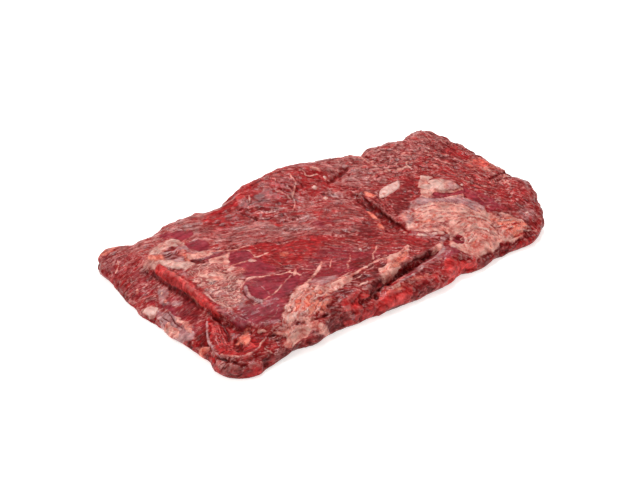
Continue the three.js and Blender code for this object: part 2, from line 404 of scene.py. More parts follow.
# Broad areas, painted first.
BROAD_AREAS: tuple[Mark, ...] = (
    # The first five areas are pale grey-pink fine grain with a painted sheen, strongest at the back of the
    # top.
    Patch("finely grained sheen at the back left", GRAIN_AND_SHEEN, 0.75, edge=((-152, 84), (-90, 86), (-56, 82), (-46, 60),
        (-44, 40), (-18, 24), (-6, 4), (-30, 2), (-58, 14), (-90, 32), (-120, 58), (-150, 62)), soft=12),
    Patch("back of the right end", GRAIN_AND_SHEEN, 0.85, edge=((24, 92), (70, 90), (150, 88), (160, 60), (120, 46),
        (104, 40), (60, 34), (44, 40), (28, 60)), soft=12),
    Patch("strip behind the hump", GRAIN_AND_SHEEN, 0.5, edge=((28, 92), (62, 92), (62, 80), (30, 79)), soft=6),
    Patch("middle of the slab", GRAIN_AND_SHEEN, 0.42, edge=((-36, 34), (22, 48), (36, 30), (34, -8), (10, -14),
        (-18, 2), (-30, 16)), soft=14),
    Patch("back of the left face", GRAIN_AND_SHEEN, 0.45, edge=((-172, 88), (-150, 86), (-146, 44), (-168, 44)),
        soft=8),
    Patch("left face", WINDOW, 0.4, edge=((-171, 82), (-150, 78), (-142, 56), (-140, 30), (-143, 10),
        (-150, -2), (-160, 0), (-171, 20)), soft=8),
    Patch("left face below", WINDOW, 0.95, calm=0.9, edge=((-156, 2), (-141, 4), (-136, -14), (-138, -34),
        (-146, -40), (-155, -36)), soft=5),
    Patch("shade on the left face", SHADE, 0.6, edge=((-153, -2), (-141, 2), (-139, -30), (-150, -36)),
        soft=5),
    Patch("saturated red behind", FRESH, 0.85, edge=((-82, 72), (-50, 74), (-46, 52), (-78, 50)), soft=9),
    Patch("deep red zone", FRESH, 0.8, calm=0.5, edge=((-74, 12), (-58, 6), (-22, 6), (-18, -14),
        (-32, -24), (-60, -24), (-76, -12)), soft=10),
    Patch("meat under silverskin", WINDOW, 0.6, edge=((-112, 6), (-80, 14), (-68, -4), (-62, -26),
        (-20, -18), (-2, -40), (20, -52), (-10, -58), (-60, -60), (-104, -72), (-128, -62), (-122, -30)),
        soft=9),
    Patch("dark purple field", WINDOW, 0.6, edge=((-70, -28), (-50, -20), (-16, -18), (-2, -40), (-20, -54),
        (-62, -50)), soft=10),
    Patch("shade of the field", SHADE, 0.45, edge=((-66, -28), (-40, -20), (-16, -20), (-6, -40),
        (-50, -48)), soft=12),
    Patch("dark field before the crease", SHADE, 0.55, edge=((14, -8), (30, 10), (39, 6), (40, -28),
        (52, -44), (40, -58), (22, -48), (4, -34), (2, -18)), soft=8),
    Patch("striated face right of the crease", SHADE, 0.7, edge=((40, 14), (60, 11), (72, 13), (84, 26),
        (90, 20), (82, 2), (62, -12), (46, -20), (40, -16)), soft=5),
    Patch("purple meat behind the fat", WINDOW, 0.75, edge=((112, -10), (120, -12), (126, -30), (128, -52),
        (120, -60), (111, -56), (110, -34)), soft=5),
    Patch("right end", FRESH, 0.35, edge=((134, 34), (172, 30), (174, -10), (172, -36), (160, -56),
        (140, -58), (134, -20), (126, 4)), soft=12),
    Patch("corner of the right end", FRESH, 0.5, edge=((126, -62), (150, -58), (156, -70), (140, -84),
        (128, -80)), soft=6),
    Patch("hump", FRESH, 0.6, edge=((-46, 84), (-8, 94), (26, 88), (34, 66), (24, 46), (-10, 46),
        (-36, 56)), soft=12),
    # The left slope of the hump lies in less light: painted shade, and deeper red at its left.
    Patch("shade of the hump", SHADE, 0.5, edge=((-44, 82), (-20, 88), (-4, 76), (-6, 58), (-30, 50),
        (-44, 56)), soft=10),
    Patch("left of the hump", FRESH, 0.5, edge=((-42, 80), (-14, 88), (-10, 54), (-38, 54)), soft=8,
        calm=0.5),
    Patch("roll along the ledge", WINDOW, 0.85, edge=((8, -70), (42, -66), (60, -68), (56, -78), (30, -81),
        (6, -80)), soft=4),
    Patch("film on the roll", FILM, 0.4, edge=((8, -72), (40, -68), (54, -70), (50, -76), (20, -79)),
        soft=5),
    Patch("fresh cut along the ledge", CUT, 0.45, edge=((-64, -78), (-30, -74), (-8, -78), (20, -83),
        (56, -82), (56, -96), (-64, -96)), soft=4),
)

# The slope at the left end.
LEFT_SLOPE: tuple[Mark, ...] = (
    Patch("torn corner", ORANGE, 0.55, edge=((-168, 86), (-160, 91), (-152, 88), (-155, 82), (-163, 81))),
    Strand("short white streak", FAT, 0.9, 0.3, points=((-165.5, 62), (-163, 63), (-160.5, 65),
        (-159.5, 68)), width=1),
    Spot("light spot", FAT, 0.7, at=(-162.5, 34), size=(6.5, 2.2), turn=65),
    Strand("silvery speckles", FILM, 0.7, 0.3, points=((-145, 29), (-149, 18), (-152, 9), (-148, -2)),
        width=6, soft=5, stray=2.5),
    Spot("pale dot", FAT, 0.8, at=(-149.5, 18.4), size=(3.2, 2), turn=70),
    Spot("second pale dot", FAT, 0.9, 0.3, at=(-152.3, 8), size=(4.5, 2.4), turn=70),
    Patch("fat nub", CREAM, 1.0, 1.2, edge=((-170, 14), (-166, 16), (-162, 12), (-161, 4), (-164, 1),
        (-169, 4)), soft=2),
    Patch("membrane at the edge", FILM, 0.95, 1.0, edge=((-161, 4), (-166, -4), (-167, -17), (-163, -38),
        (-153, -37), (-154, -28), (-154.5, -14), (-156.5, -4)), soft=2),
    Sheaf("folds of the membrane", SHADE, 0.7, -0.7, first=((-158, -2), (-157, -14), (-158, -24)),
        last=((-165, -4), (-164.5, -14), (-163, -26)), count=3),
    Patch("pink lump of the membrane", FAT, 0.95, 0.8, edge=((-162, -10), (-159, -19), (-163.5, -29),
        (-166, -17)), soft=2),
    Patch("pale fold of the membrane", FAT, 0.75, 0.7, edge=((-155.3, -12), (-152.5, -18), (-153.5, -34),
        (-157, -30)), soft=2.5),
    Strand("dark hollow in the edge", DEEP_SHADE, 0.95, -1.4, points=((-161.5, -40), (-160, -45), (-158.5, -49)),
        width=3.4),
    Patch("maroon beside the pocket", DEEP_SHADE, 0.75, calm=0.8, edge=((-153, -37), (-147, -40), (-150, -52),
        (-155, -56), (-157, -45))),
    Spot("orange nub", ORANGE, 0.9, 1.0, at=(-158.5, -55.5), size=(8, 5), turn=-60),
)

# The cut edge of the upper leaf, and the torn pocket in front of it.
CUT_EDGE: tuple[Mark, ...] = (
    Patch("crimson behind the cut", FRESH, calm=0.9, edge=((-136, 10), (-132, 4), (-131.4, -7), (-131, -17),
        (-131.6, -30), (-136, -33), (-136.8, -25), (-135.4, -14), (-135, -4)), soft=2, wear=0.2),
    Strand("shade behind the cut", SHADE, 0.5, calm=0.9, points=((-132.8, 0), (-132.6, -14), (-133.4, -27)),
        width=3, soft=3),
    Strand("cut edge of the upper leaf", CUT, 1.0, 0.8, calm=0.9, points=((-143, 35), (-141, 26),
        (-139.4, 17), (-137.8, 7), (-136.4, -3)), width=6, soft=2.4, wear=0.1),
    Sheaf("light on the cut", ORANGE, 0.6, 0.2, calm=0.9, first=((-142, 30), (-139.6, 16), (-137.4, 2)),
        last=((-139.5, 28), (-137, 16), (-135.4, 4)), count=2, width=1, stray=2),
    Strand("rim behind the cut", FAT, 0.6, 0.3, points=((-138.5, 37), (-134.5, 24), (-131.5, 12),
        (-131, 4)), width=0.9),
    Strand("bright line lower down", ORANGE, 0.85, 0.6, calm=0.8, points=((-137.4, 2), (-136.4, -6.4),
        (-137.1, -14), (-139, -20), (-139.3, -28), (-139, -34), (-138.1, -41), (-137.3, -49)), soft=1.4),
    Strand("black edge behind the cut", DEEP_SHADE, 0.9, -0.5, points=((-131, 3), (-130, -8), (-130, -17),
        (-131, -26), (-132, -34)), width=1.1),
    Strand("dark purple blade", WINDOW, 1.0, 0.4, calm=0.9, points=((-133.5, -34), (-131, -46),
        (-128, -58)), width=6, soft=2),
    Strand("shadow in the blade", DEEP_SHADE, 0.7, -0.5, points=((-132.5, -38), (-130.5, -47), (-128.5, -55)),
        width=1.6),
    Strand("pale edge of the blade", FAT, 0.75, 0.5, points=((-130, -30), (-128.2, -42), (-125.5, -54),
        (-124, -61)), width=1.2),
    Patch("pocket", FRESH, calm=0.8, edge=((-140, -30), (-144, -36), (-148, -46), (-151.4, -57),
        (-153.4, -67), (-153.5, -73), (-150, -80), (-142, -85), (-130, -85), (-120, -80), (-119, -72),
        (-127, -66), (-133, -55.5), (-136.5, -44.5), (-137, -33)), soft=2, wear=0.2),
    Sheaf("bright folds of the pocket", CUT, 0.9, 0.4, calm=0.8, first=((-143, -38), (-148, -52),
        (-150, -66), (-145, -79), (-132, -81)), last=((-140, -40), (-142, -52), (-144, -62), (-141, -70),
        (-132, -76)), width=1.4),
    Sheaf("dark folds of the pocket", DEEP_SHADE, 0.6, -0.6, calm=0.8, first=((-141, -38), (-146, -54),
        (-147, -68), (-140, -79)), last=((-138.5, -42), (-141, -54), (-143, -64), (-138, -74)), count=3),
    Strand("groove in the pocket", DEEP_SHADE, 0.95, -1.8, points=((-137.5, -35), (-137.3, -46.7), (-138.6, -55),
        (-140.8, -61)), soft=2),
    Strand("cavity", DEEP_SHADE, 1.0, -2.8, points=((-136, -64), (-139, -68), (-141.5, -76)), width=4.5, soft=2.5),
    Patch("scrap of meat in the pocket", ORANGE, 0.75, 1.0, calm=0.9, edge=((-136, -64), (-129, -62),
        (-127, -68), (-132, -75), (-137, -77), (-137, -70)), soft=2, wear=0.2),
    Strand("pocket rim on the left", FILM, 0.9, 0.8, points=((-143, -34), (-150.5, -47), (-153.8, -60),
        (-155.5, -67), (-155.9, -74)), width=1.5),
    Strand("pocket rim in front", FAT, 0.75, 0.8, points=((-153.9, -70.7), (-149.3, -79.5), (-144.5, -83.5),
        (-134.7, -84), (-126.8, -80), (-120, -76)), width=1.3),
    Strand("furrow down the corner", DEEP_SHADE, 0.95, -1.6, points=((-157, -72), (-153, -80), (-149, -86),
        (-144, -90)), width=2, soft=1.5),
    Strand("streak on the corner", FAT, 0.8, 0.4, points=((-126, -84), (-124, -87), (-122, -90)), width=1.6),
    Strand("rim of membrane", FAT, 0.8, 0.6, points=((-122, -68.5), (-118, -72.5), (-111, -77.5),
        (-106, -81)), width=1.4),
)

# Fat and silverskin over the left of the slab.
LEFT_FAT: tuple[Mark, ...] = (
    Patch("brown film under the fat", FILM, 0.7, edge=((-146, 52), (-136, 60), (-126, 63), (-112, 60),
        (-108, 46), (-98, 32), (-88, 18), (-97, 6), (-95, -10), (-104, -24), (-112, -40), (-131, -46),
        (-132, -20), (-132, 6), (-138, 30)), soft=6),
    Patch("fat at the back", CREAM, 0.95, 0.3, edge=((-145, 50), (-137, 58), (-126, 62), (-113, 60),
        (-110, 50), (-118, 50), (-128, 50), (-140, 45)), soft=4),
    Sheaf("strands at the back", CREAM, 0.8, 0.4, first=((-143, 51), (-134, 57), (-124, 61), (-112, 58)),
        last=((-138, 44), (-131, 49), (-122, 53), (-112, 48)), count=5, width=2),
    Patch("hole at the back", SHADE, 0.9, -0.9, edge=((-130, 49), (-123, 52), (-119, 47), (-121, 40),
        (-128, 39), (-132, 43)), soft=2.4),
    Sheaf("threads across the hole", FILM, 0.8, 0.4, first=((-131, 49), (-125, 47), (-119, 46)),
        last=((-131, 42), (-126, 41), (-120, 41)), count=3),
    Patch("orange by the cut", ORANGE, 0.85, 0.4, edge=((-142, 53), (-135, 51), (-131.5, 46), (-135, 40),
        (-141, 44))),
    Patch("cream fat along the cut", CREAM, 0.95, 0.7, edge=((-148, 51), (-143, 47), (-137, 41), (-131, 36),
        (-125, 31), (-120, 25), (-119, 17), (-124, 14), (-130, 20), (-135, 28), (-140, 35), (-145, 42))),
    Patch("orange in the middle", ORANGE, 0.75, 0.4, edge=((-120, 41), (-115, 41), (-115, 33), (-118, 26),
        (-122, 28), (-121, 35))),
    Patch("fat arm to the right", FAT, 0.95, 0.6, edge=((-117, 39), (-110, 34), (-102, 32.5), (-99.5, 29),
        (-103, 26), (-112, 26), (-118, 28), (-119, 34)), soft=2.4),
    Patch("brown hole in the middle", SHADE, 0.9, -0.9, edge=((-119, 28), (-112, 26), (-109, 22),
        (-113, 17), (-120, 19)), soft=2.4),
    Patch("mauve window", WINDOW, 0.9, -0.4, edge=((-109, 26), (-101, 27), (-92, 22), (-100, 18),
        (-108, 20)), soft=2),
    Patch("pale wedge", FAT, 0.8, 0.3, edge=((-107, 20), (-97, 21), (-88, 18), (-91, 14), (-98, 7),
        (-106, 9)), soft=2.6),
    Patch("net", NET, 1.0, 0.3, edge=((-128, 17), (-118, 20), (-108, 15), (-100, 6), (-95.5, -1),
        (-95, -10), (-103, -16), (-106, -25), (-114, -34), (-126, -42), (-131, -34), (-129, -20),
        (-130, -4), (-131, 8)), soft=5, wear=0.4),
    Patch("bright fat in the net", FAT, 0.85, 0.5, edge=((-124, 8), (-114, 9), (-108, 2), (-108, -6),
        (-114, -10), (-121, -7)), soft=5),
    Spot("brightest fat", CREAM, 0.8, 0.3, at=(-116, 1), size=(9, 6), turn=-30),
    Spot("bright fat at the window", CREAM, 0.8, 0.4, at=(-100.5, -1), size=(8, 5), turn=20),
    Spot("bright fat in front", FAT, 0.8, 0.4, at=(-105.5, -20), size=(7, 4.5)),
    Sheaf("strands of the net", CREAM, 0.75, 0.5, first=((-131, 2), (-122, -6), (-112, -9), (-103, -9)),
        last=((-128, -21), (-120, -21), (-111, -22), (-104, -18)), count=5, width=1.1, stray=2.6),
    Sheaf("gaps of the net", SHADE, 0.65, -0.6, first=((-129, -1), (-120, -8), (-110, -13)),
        last=((-127, -26), (-118, -25), (-108, -25)), width=1.0, stray=2.6),
    Sheaf("thin strands in front", FAT, 0.6, 0.3, first=((-130, -24), (-120, -26), (-109, -27)),
        last=((-130, -42), (-120, -40), (-110, -36)), stray=2.4),
    Strand("edge of fat down to the blade", CREAM, 0.8, 0.5, points=((-133, -14), (-131.5, -24),
        (-130, -34), (-126, -46)), width=2, soft=1.6),
)

# Windows of bare meat under clear silverskin, and the pale lines between them.
WINDOWS: tuple[Mark, ...] = (
    Patch("window at the back", WINDOW, 0.9, edge=((-120, 72), (-104, 70), (-97, 61), (-106, 57),
        (-118, 62)), soft=5),
    Patch("window beside the fat", WINDOW, edge=((-109, 52), (-101, 49), (-94.5, 42), (-97, 36),
        (-103, 32.5), (-109, 37), (-110.5, 44)), soft=2.4),
    Patch("clear window", WINDOW, 1.0, 0.3, edge=((-93, 14), (-89, 18.5), (-82, 15), (-77, 10), (-79, 4),
        (-78, 1), (-87, 0.5), (-98, 3.5), (-97, 8)), soft=1.8),
    Patch("second clear window", WINDOW, 0.95, edge=((-98, 2), (-86, -2), (-74, -1), (-72, -15), (-80, -20),
        (-92, -19), (-98, -14), (-94, -8)), soft=2.6),
    Patch("red window", FRESH, 0.95, calm=0.8, wear=0.3, edge=((-76, 14), (-64, 16), (-54, 8), (-54, -8),
        (-62, -18), (-72, -14)), soft=5),
    Patch("shade of the red window", SHADE, 0.35, edge=((-76, 12), (-58, 8), (-56, -14), (-72, -14)),
        soft=6),
    Patch("big window", WINDOW, 1.0, 0.4, edge=((-106, -25), (-98, -21.5), (-88, -23), (-74, -28),
        (-66, -38), (-78, -47), (-94, -51), (-105, -48), (-108, -38))),
    Patch("window in front", WINDOW, 0.85, edge=((-128, -46), (-112, -50), (-96, -54), (-94, -62),
        (-108, -72), (-118, -70), (-126, -60)), soft=5),
    Strand("line by the window", FAT, 0.6, points=((-112, 40), (-108, 34), (-100, 33), (-96, 29)),
        width=1.2),
    Strand("line over the clear window", FAT, 0.7, points=((-102, 32), (-94, 27), (-87, 21), (-80, 19),
        (-70, 19)), width=1.3),
    Strand("line right of the clear window", FAT, 0.7, points=((-79, 15), (-77.5, 9), (-77.5, 2)),
        width=1.4),
    Strand("line under the clear window", FAT, 0.75, points=((-101, 2), (-93, 1.5), (-84, -0.5), (-77, 1.5),
        (-66, 2)), width=1.6),
    Spot("knot under the clear window", CREAM, 0.9, 0.4, at=(-82.5, -1.5), size=(7, 4.5), turn=-30),
    Strand("line over the big window", FAT, 0.75, 0.3, points=((-109, -27), (-104, -23), (-96, -20.5),
        (-88, -22), (-77, -26), (-66, -28)), width=1.8),
    Spot("knot over the big window", CREAM, 0.8, 0.3, at=(-96, -20.5), size=(9, 3.4), turn=-5),
    Strand("thin line in the red window", FAT, 0.5, points=((-70, 16), (-69, 2), (-67, -12), (-66, -28)),
        width=1.1),
    Strand("line under the big window", FAT, 0.65, points=((-112, -48), (-98, -47), (-88, -43), (-78, -38),
        (-70, -34)), width=1.4),
    Strand("thin line across the big window", FILM, 0.6, points=((-96, -24), (-94, -36), (-96, -47)),
        width=1),
    Sheaf("thin lines in front", FILM, 0.6, first=((-124, -50), (-110, -54), (-96, -56)), last=((-118, -68),
        (-106, -66), (-96, -60)), count=3, width=0.8),
    Strand("grey glint", FILM, 1.0, 0.5, points=((-105.5, -28), (-108, -35), (-108.5, -41), (-105.5, -48)),
        width=3),
    Strand("white of the glint", CREAM, 0.7, 0.3, points=((-106, -31), (-108.5, -38), (-107, -45)),
        width=1.1),
    Strand("dark edge of the glint", DEEP_SHADE, 0.7, -0.4, points=((-109, -29), (-111, -37), (-110.5, -44)),
        width=1.4),
)

# The fat that fringes the front left edge.
FRONT_FRINGE: tuple[Mark, ...] = (
    Patch("fringe of fat", FAT, 1.0, 0.6, edge=((-106, -73), (-102, -72), (-95.5, -64), (-86.5, -55.5),
        (-80, -51), (-71, -48.5), (-58, -52), (-57, -62), (-60, -72), (-66, -78), (-78, -80), (-90, -82),
        (-100, -84), (-108, -82)), soft=4),
    Patch("orange of the fringe", ORANGE, 1.0, 0.3, wear=0.3, edge=((-92, -68), (-80, -58), (-68, -56),
        (-58, -60), (-59, -70), (-66, -77), (-80, -79), (-90, -76)), soft=6),
    Sheaf("red between the strands", CUT, 0.5, -0.6, first=((-96, -70), (-88, -62), (-78, -56), (-60, -52)),
        last=((-90, -82), (-80, -77), (-70, -72), (-56, -68)), width=1.2, stray=3.2),
    Sheaf("strands of the fringe", CREAM, 0.8, 0.5, first=((-107, -75), (-95, -65.5), (-84, -55),
        (-62, -47)), last=((-102, -86), (-88, -81), (-74, -76), (-58, -70)), count=5, width=2.1, stray=3.2),
    Sheaf("threads of the fringe", FAT, 0.8, 0.3, first=((-104, -78), (-92, -70), (-84, -60), (-66, -50)),
        last=((-98, -86), (-84, -80), (-70, -72), (-54, -60)), stray=2.4),
    Spot("red spot in the fringe", FRESH, 0.8, at=(-68, -70), size=(7, 4), turn=-30),
    Strand("shadow under the fringe", SHADE, 0.9, -0.8, points=((-99, -80), (-94, -83), (-86, -84)),
        width=4, soft=3),
    Strand("streak under the fringe", DEEP_SHADE, 0.85, -1.2, points=((-92, -84), (-82, -84.5), (-73, -83)),
        soft=1.6),
    Strand("second streak under it", DEEP_SHADE, 0.85, -1.2, points=((-68, -79), (-62, -77.5), (-58, -76)),
        width=3, soft=2),
    Patch("salmon fat", FAT, 0.95, 0.6, edge=((-62, -60), (-48, -60), (-36, -59), (-33, -62), (-42, -66),
        (-50, -69), (-60, -69))),
    Sheaf("pinkish scraps of fat", FAT, 0.8, 0.6, first=((-42, -74), (-36, -73), (-28, -72)),
        last=((-40, -78), (-35, -77.5), (-28, -76)), count=2, width=1.6),
    Patch("dark red below", SHADE, 0.9, edge=((-32, -60), (-18, -60), (-11, -63), (-14, -71), (-28, -72),
        (-33, -67)), soft=3.5),
    Patch("dark purple below", SHADE, 0.8, edge=((-63, -68), (-50, -68), (-42, -70), (-42, -78), (-56, -79),
        (-64, -76)), soft=4),
    Sheaf("film on it", FILM, 0.5, 0.4, first=((-62, -70), (-52, -70), (-43, -72)), last=((-62, -76),
        (-52, -77), (-43, -77)), count=3, width=1.1),
    Strand("band of fat", FAT, 0.95, 0.7, points=((-54, -63), (-44, -61), (-38, -60), (-29, -59.4),
        (-16, -56.5), (-6, -55.8), (2, -57), (10, -56), (18, -55)), soft=1.2),
    Sheaf("threads along the band", FAT, 0.7, 0.3, first=((-60, -57), (-46, -55), (-30, -53), (-14, -52),
        (6, -50)), last=((-50, -67), (-40, -65), (-26, -63), (-14, -60), (0, -60)), width=0.8),
    Patch("tongue of fat", FAT, 1.0, 0.9, edge=((26, -52), (24, -56), (20, -61), (15.5, -66.5), (4.5, -71),
        (-13, -74), (-15, -71), (-12, -65), (-7, -66), (-2, -61), (4.5, -56), (14, -54)), soft=2.2),
    Sheaf("strands of the tongue", ORANGE, 0.85, -0.4, first=((24, -54), (12, -58), (0, -64), (-12, -70)),
        last=((20, -60), (10, -66), (0, -69), (-12, -74)), count=3, width=1.2),
    Patch("orange of the tongue", ORANGE, 0.75, edge=((18, -55), (12, -60), (2, -64), (-4, -68), (2, -70),
        (12, -66), (20, -59)), soft=4),
    Spot("darkest red", DEEP_SHADE, 0.8, -0.8, at=(-7, -62), size=(9, 4)),
)

# The middle of the slab and the hump behind it.
MIDDLE: tuple[Mark, ...] = (
    Strand("line A", FAT, 0.85, 0.3, points=((-82, -56), (-73, -52), (-65.5, -48), (-54.5, -42),
        (-46.5, -36.5), (-40, -32)), width=2.6, soft=1.4),
    Strand("line B", FAT, 0.6, points=((-39, -41), (-35, -36), (-31, -32)), width=1.3),
    Strand("line C", FAT, 0.7, points=((-29, -50), (-25.5, -44.5), (-20, -41), (-17, -36)), width=1.5),
    Strand("line D", FAT, 0.7, points=((-7, -52), (-3.5, -46.5), (2, -43), (8, -38)), width=1.6),
    Strand("star, first arm", FAT, 0.85, 0.4, points=((-68, -29), (-65, -32), (-63, -36)), width=1.7),
    Strand("star, second arm", FAT, 0.85, 0.4, points=((-62, -29), (-65, -32), (-68, -35)), width=1.7),
    Spot("white glint", CREAM, 1.0, 0.5, at=(-6, -35), size=(4.4, 2.8), turn=60),
    Patch("dark window in the field", SHADE, 0.75, edge=((-25, -44), (-17, -44), (-8, -48), (-9, -55),
        (-22, -55))),
    Patch("grey of the field", FILM, 0.7, edge=((-66, -50), (-56, -47), (-44, -50), (-43, -58), (-56, -60),
        (-66, -57)), soft=4),
    Patch("orange spot on the red", ORANGE, 0.6, edge=((-60, -2), (-54, -3), (-52, -8), (-58, -10))),
    Patch("mauve of the middle", WINDOW, 0.6, edge=((-16, 18), (-4, 17), (2, 8), (-2, 1), (-14, 2)), soft=5),
    Patch("dark mauve before the crease", SHADE, 0.7, edge=((20, 9), (26, 7), (27, 1), (20, 1)), soft=4),
    Strand("salmon streak", ORANGE, 0.75, 0.4, points=((35, 8), (33.5, 0), (32.5, -8), (28.5, -14),
        (26, -19)), width=4, soft=3),
    Patch("dark brown", SHADE, 0.8, edge=((9, -13), (18, -14), (20, -24), (12, -28), (8, -22)), soft=5),
    Patch("dark beside the crease", DEEP_SHADE, 0.6, edge=((31, -12), (38, -10), (39, -26), (33, -25)), soft=4),
    Spot("fleck in the middle", FAT, 0.9, 0.4, at=(28.5, 59.5), size=(5, 4.2), turn=20),
    Spot("fleck on the hump", FAT, 1.0, 0.5, at=(13.3, 52.2), size=(6, 4.4)),
    Spot("fleck before the hump", FAT, 0.95, 0.4, at=(14.3, 38.3), size=(4.6, 3.6)),
    Spot("lump on the hump", FAT, 0.7, 0.5, at=(26, 70), size=(9, 5), turn=-40),
    Strand("branch over the hump", FAT, 0.85, 0.4, points=((11, 79), (13.5, 74), (14.5, 70), (14, 65.5),
        (18, 63.5), (24, 64)), width=1.2),
    Patch("bright cracks of the hump", FRESH, 0.8, edge=((-40, 40), (-36, 40), (-35, 29), (-40, 29))),
    Patch("dark roll of the hump", SHADE, 0.75, -0.5, edge=((-32, 70), (-27, 58), (-14, 51), (-18, 47),
        (-30, 54), (-37, 62))),
    Patch("bright knob behind it", CUT, 0.95, 0.8, edge=((-40, 77), (-43, 69), (-49, 71), (-47, 79)),
        soft=2.4),
    Sheaf("dark swirl", SHADE, 0.7, -0.6, first=((-36, 80), (-24, 74), (-14, 64), (-8, 54)),
        last=((-14, 86), (-4, 80), (2, 68), (4, 56)), width=1.5),
    Sheaf("pale swirl", FAT, 0.55, 0.4, first=((-33, 78), (-22, 70), (-14, 60), (-12, 50)), last=((-8, 86),
        (2, 74), (0, 62), (-8, 52)), count=3, width=1.0),
    Strand("pale arc down the hump", FAT, 0.7, 0.4, points=((1.6, 70), (0.6, 61), (-8, 53), (-10, 46),
        (-18, 39)), width=1.3),
    Strand("pale arc left of the hump", FAT, 0.55, 0.4, points=((-38, 70), (-43, 60), (-41, 52)), width=1.4),
    Spot("hole at the foot of the hump", DEEP_SHADE, 1.0, -1.8, at=(-46, 48), size=(6, 3), turn=70),
    Spot("whitish edge of the hole", FILM, 0.9, 0.6, at=(-41.5, 49), size=(6, 3), turn=60),
    Strand("foot of the hump", SHADE, 0.8, -1.2, points=((-56, 60), (-50, 54), (-44, 44), (-36, 41),
        (-28, 38)), soft=2),
    Strand("crease right of the hump", DEEP_SHADE, 0.7, -1.2, points=((28, 54), (34, 56), (42, 59), (50, 61.5),
        (55, 63)), width=3.2, soft=2.4),
)

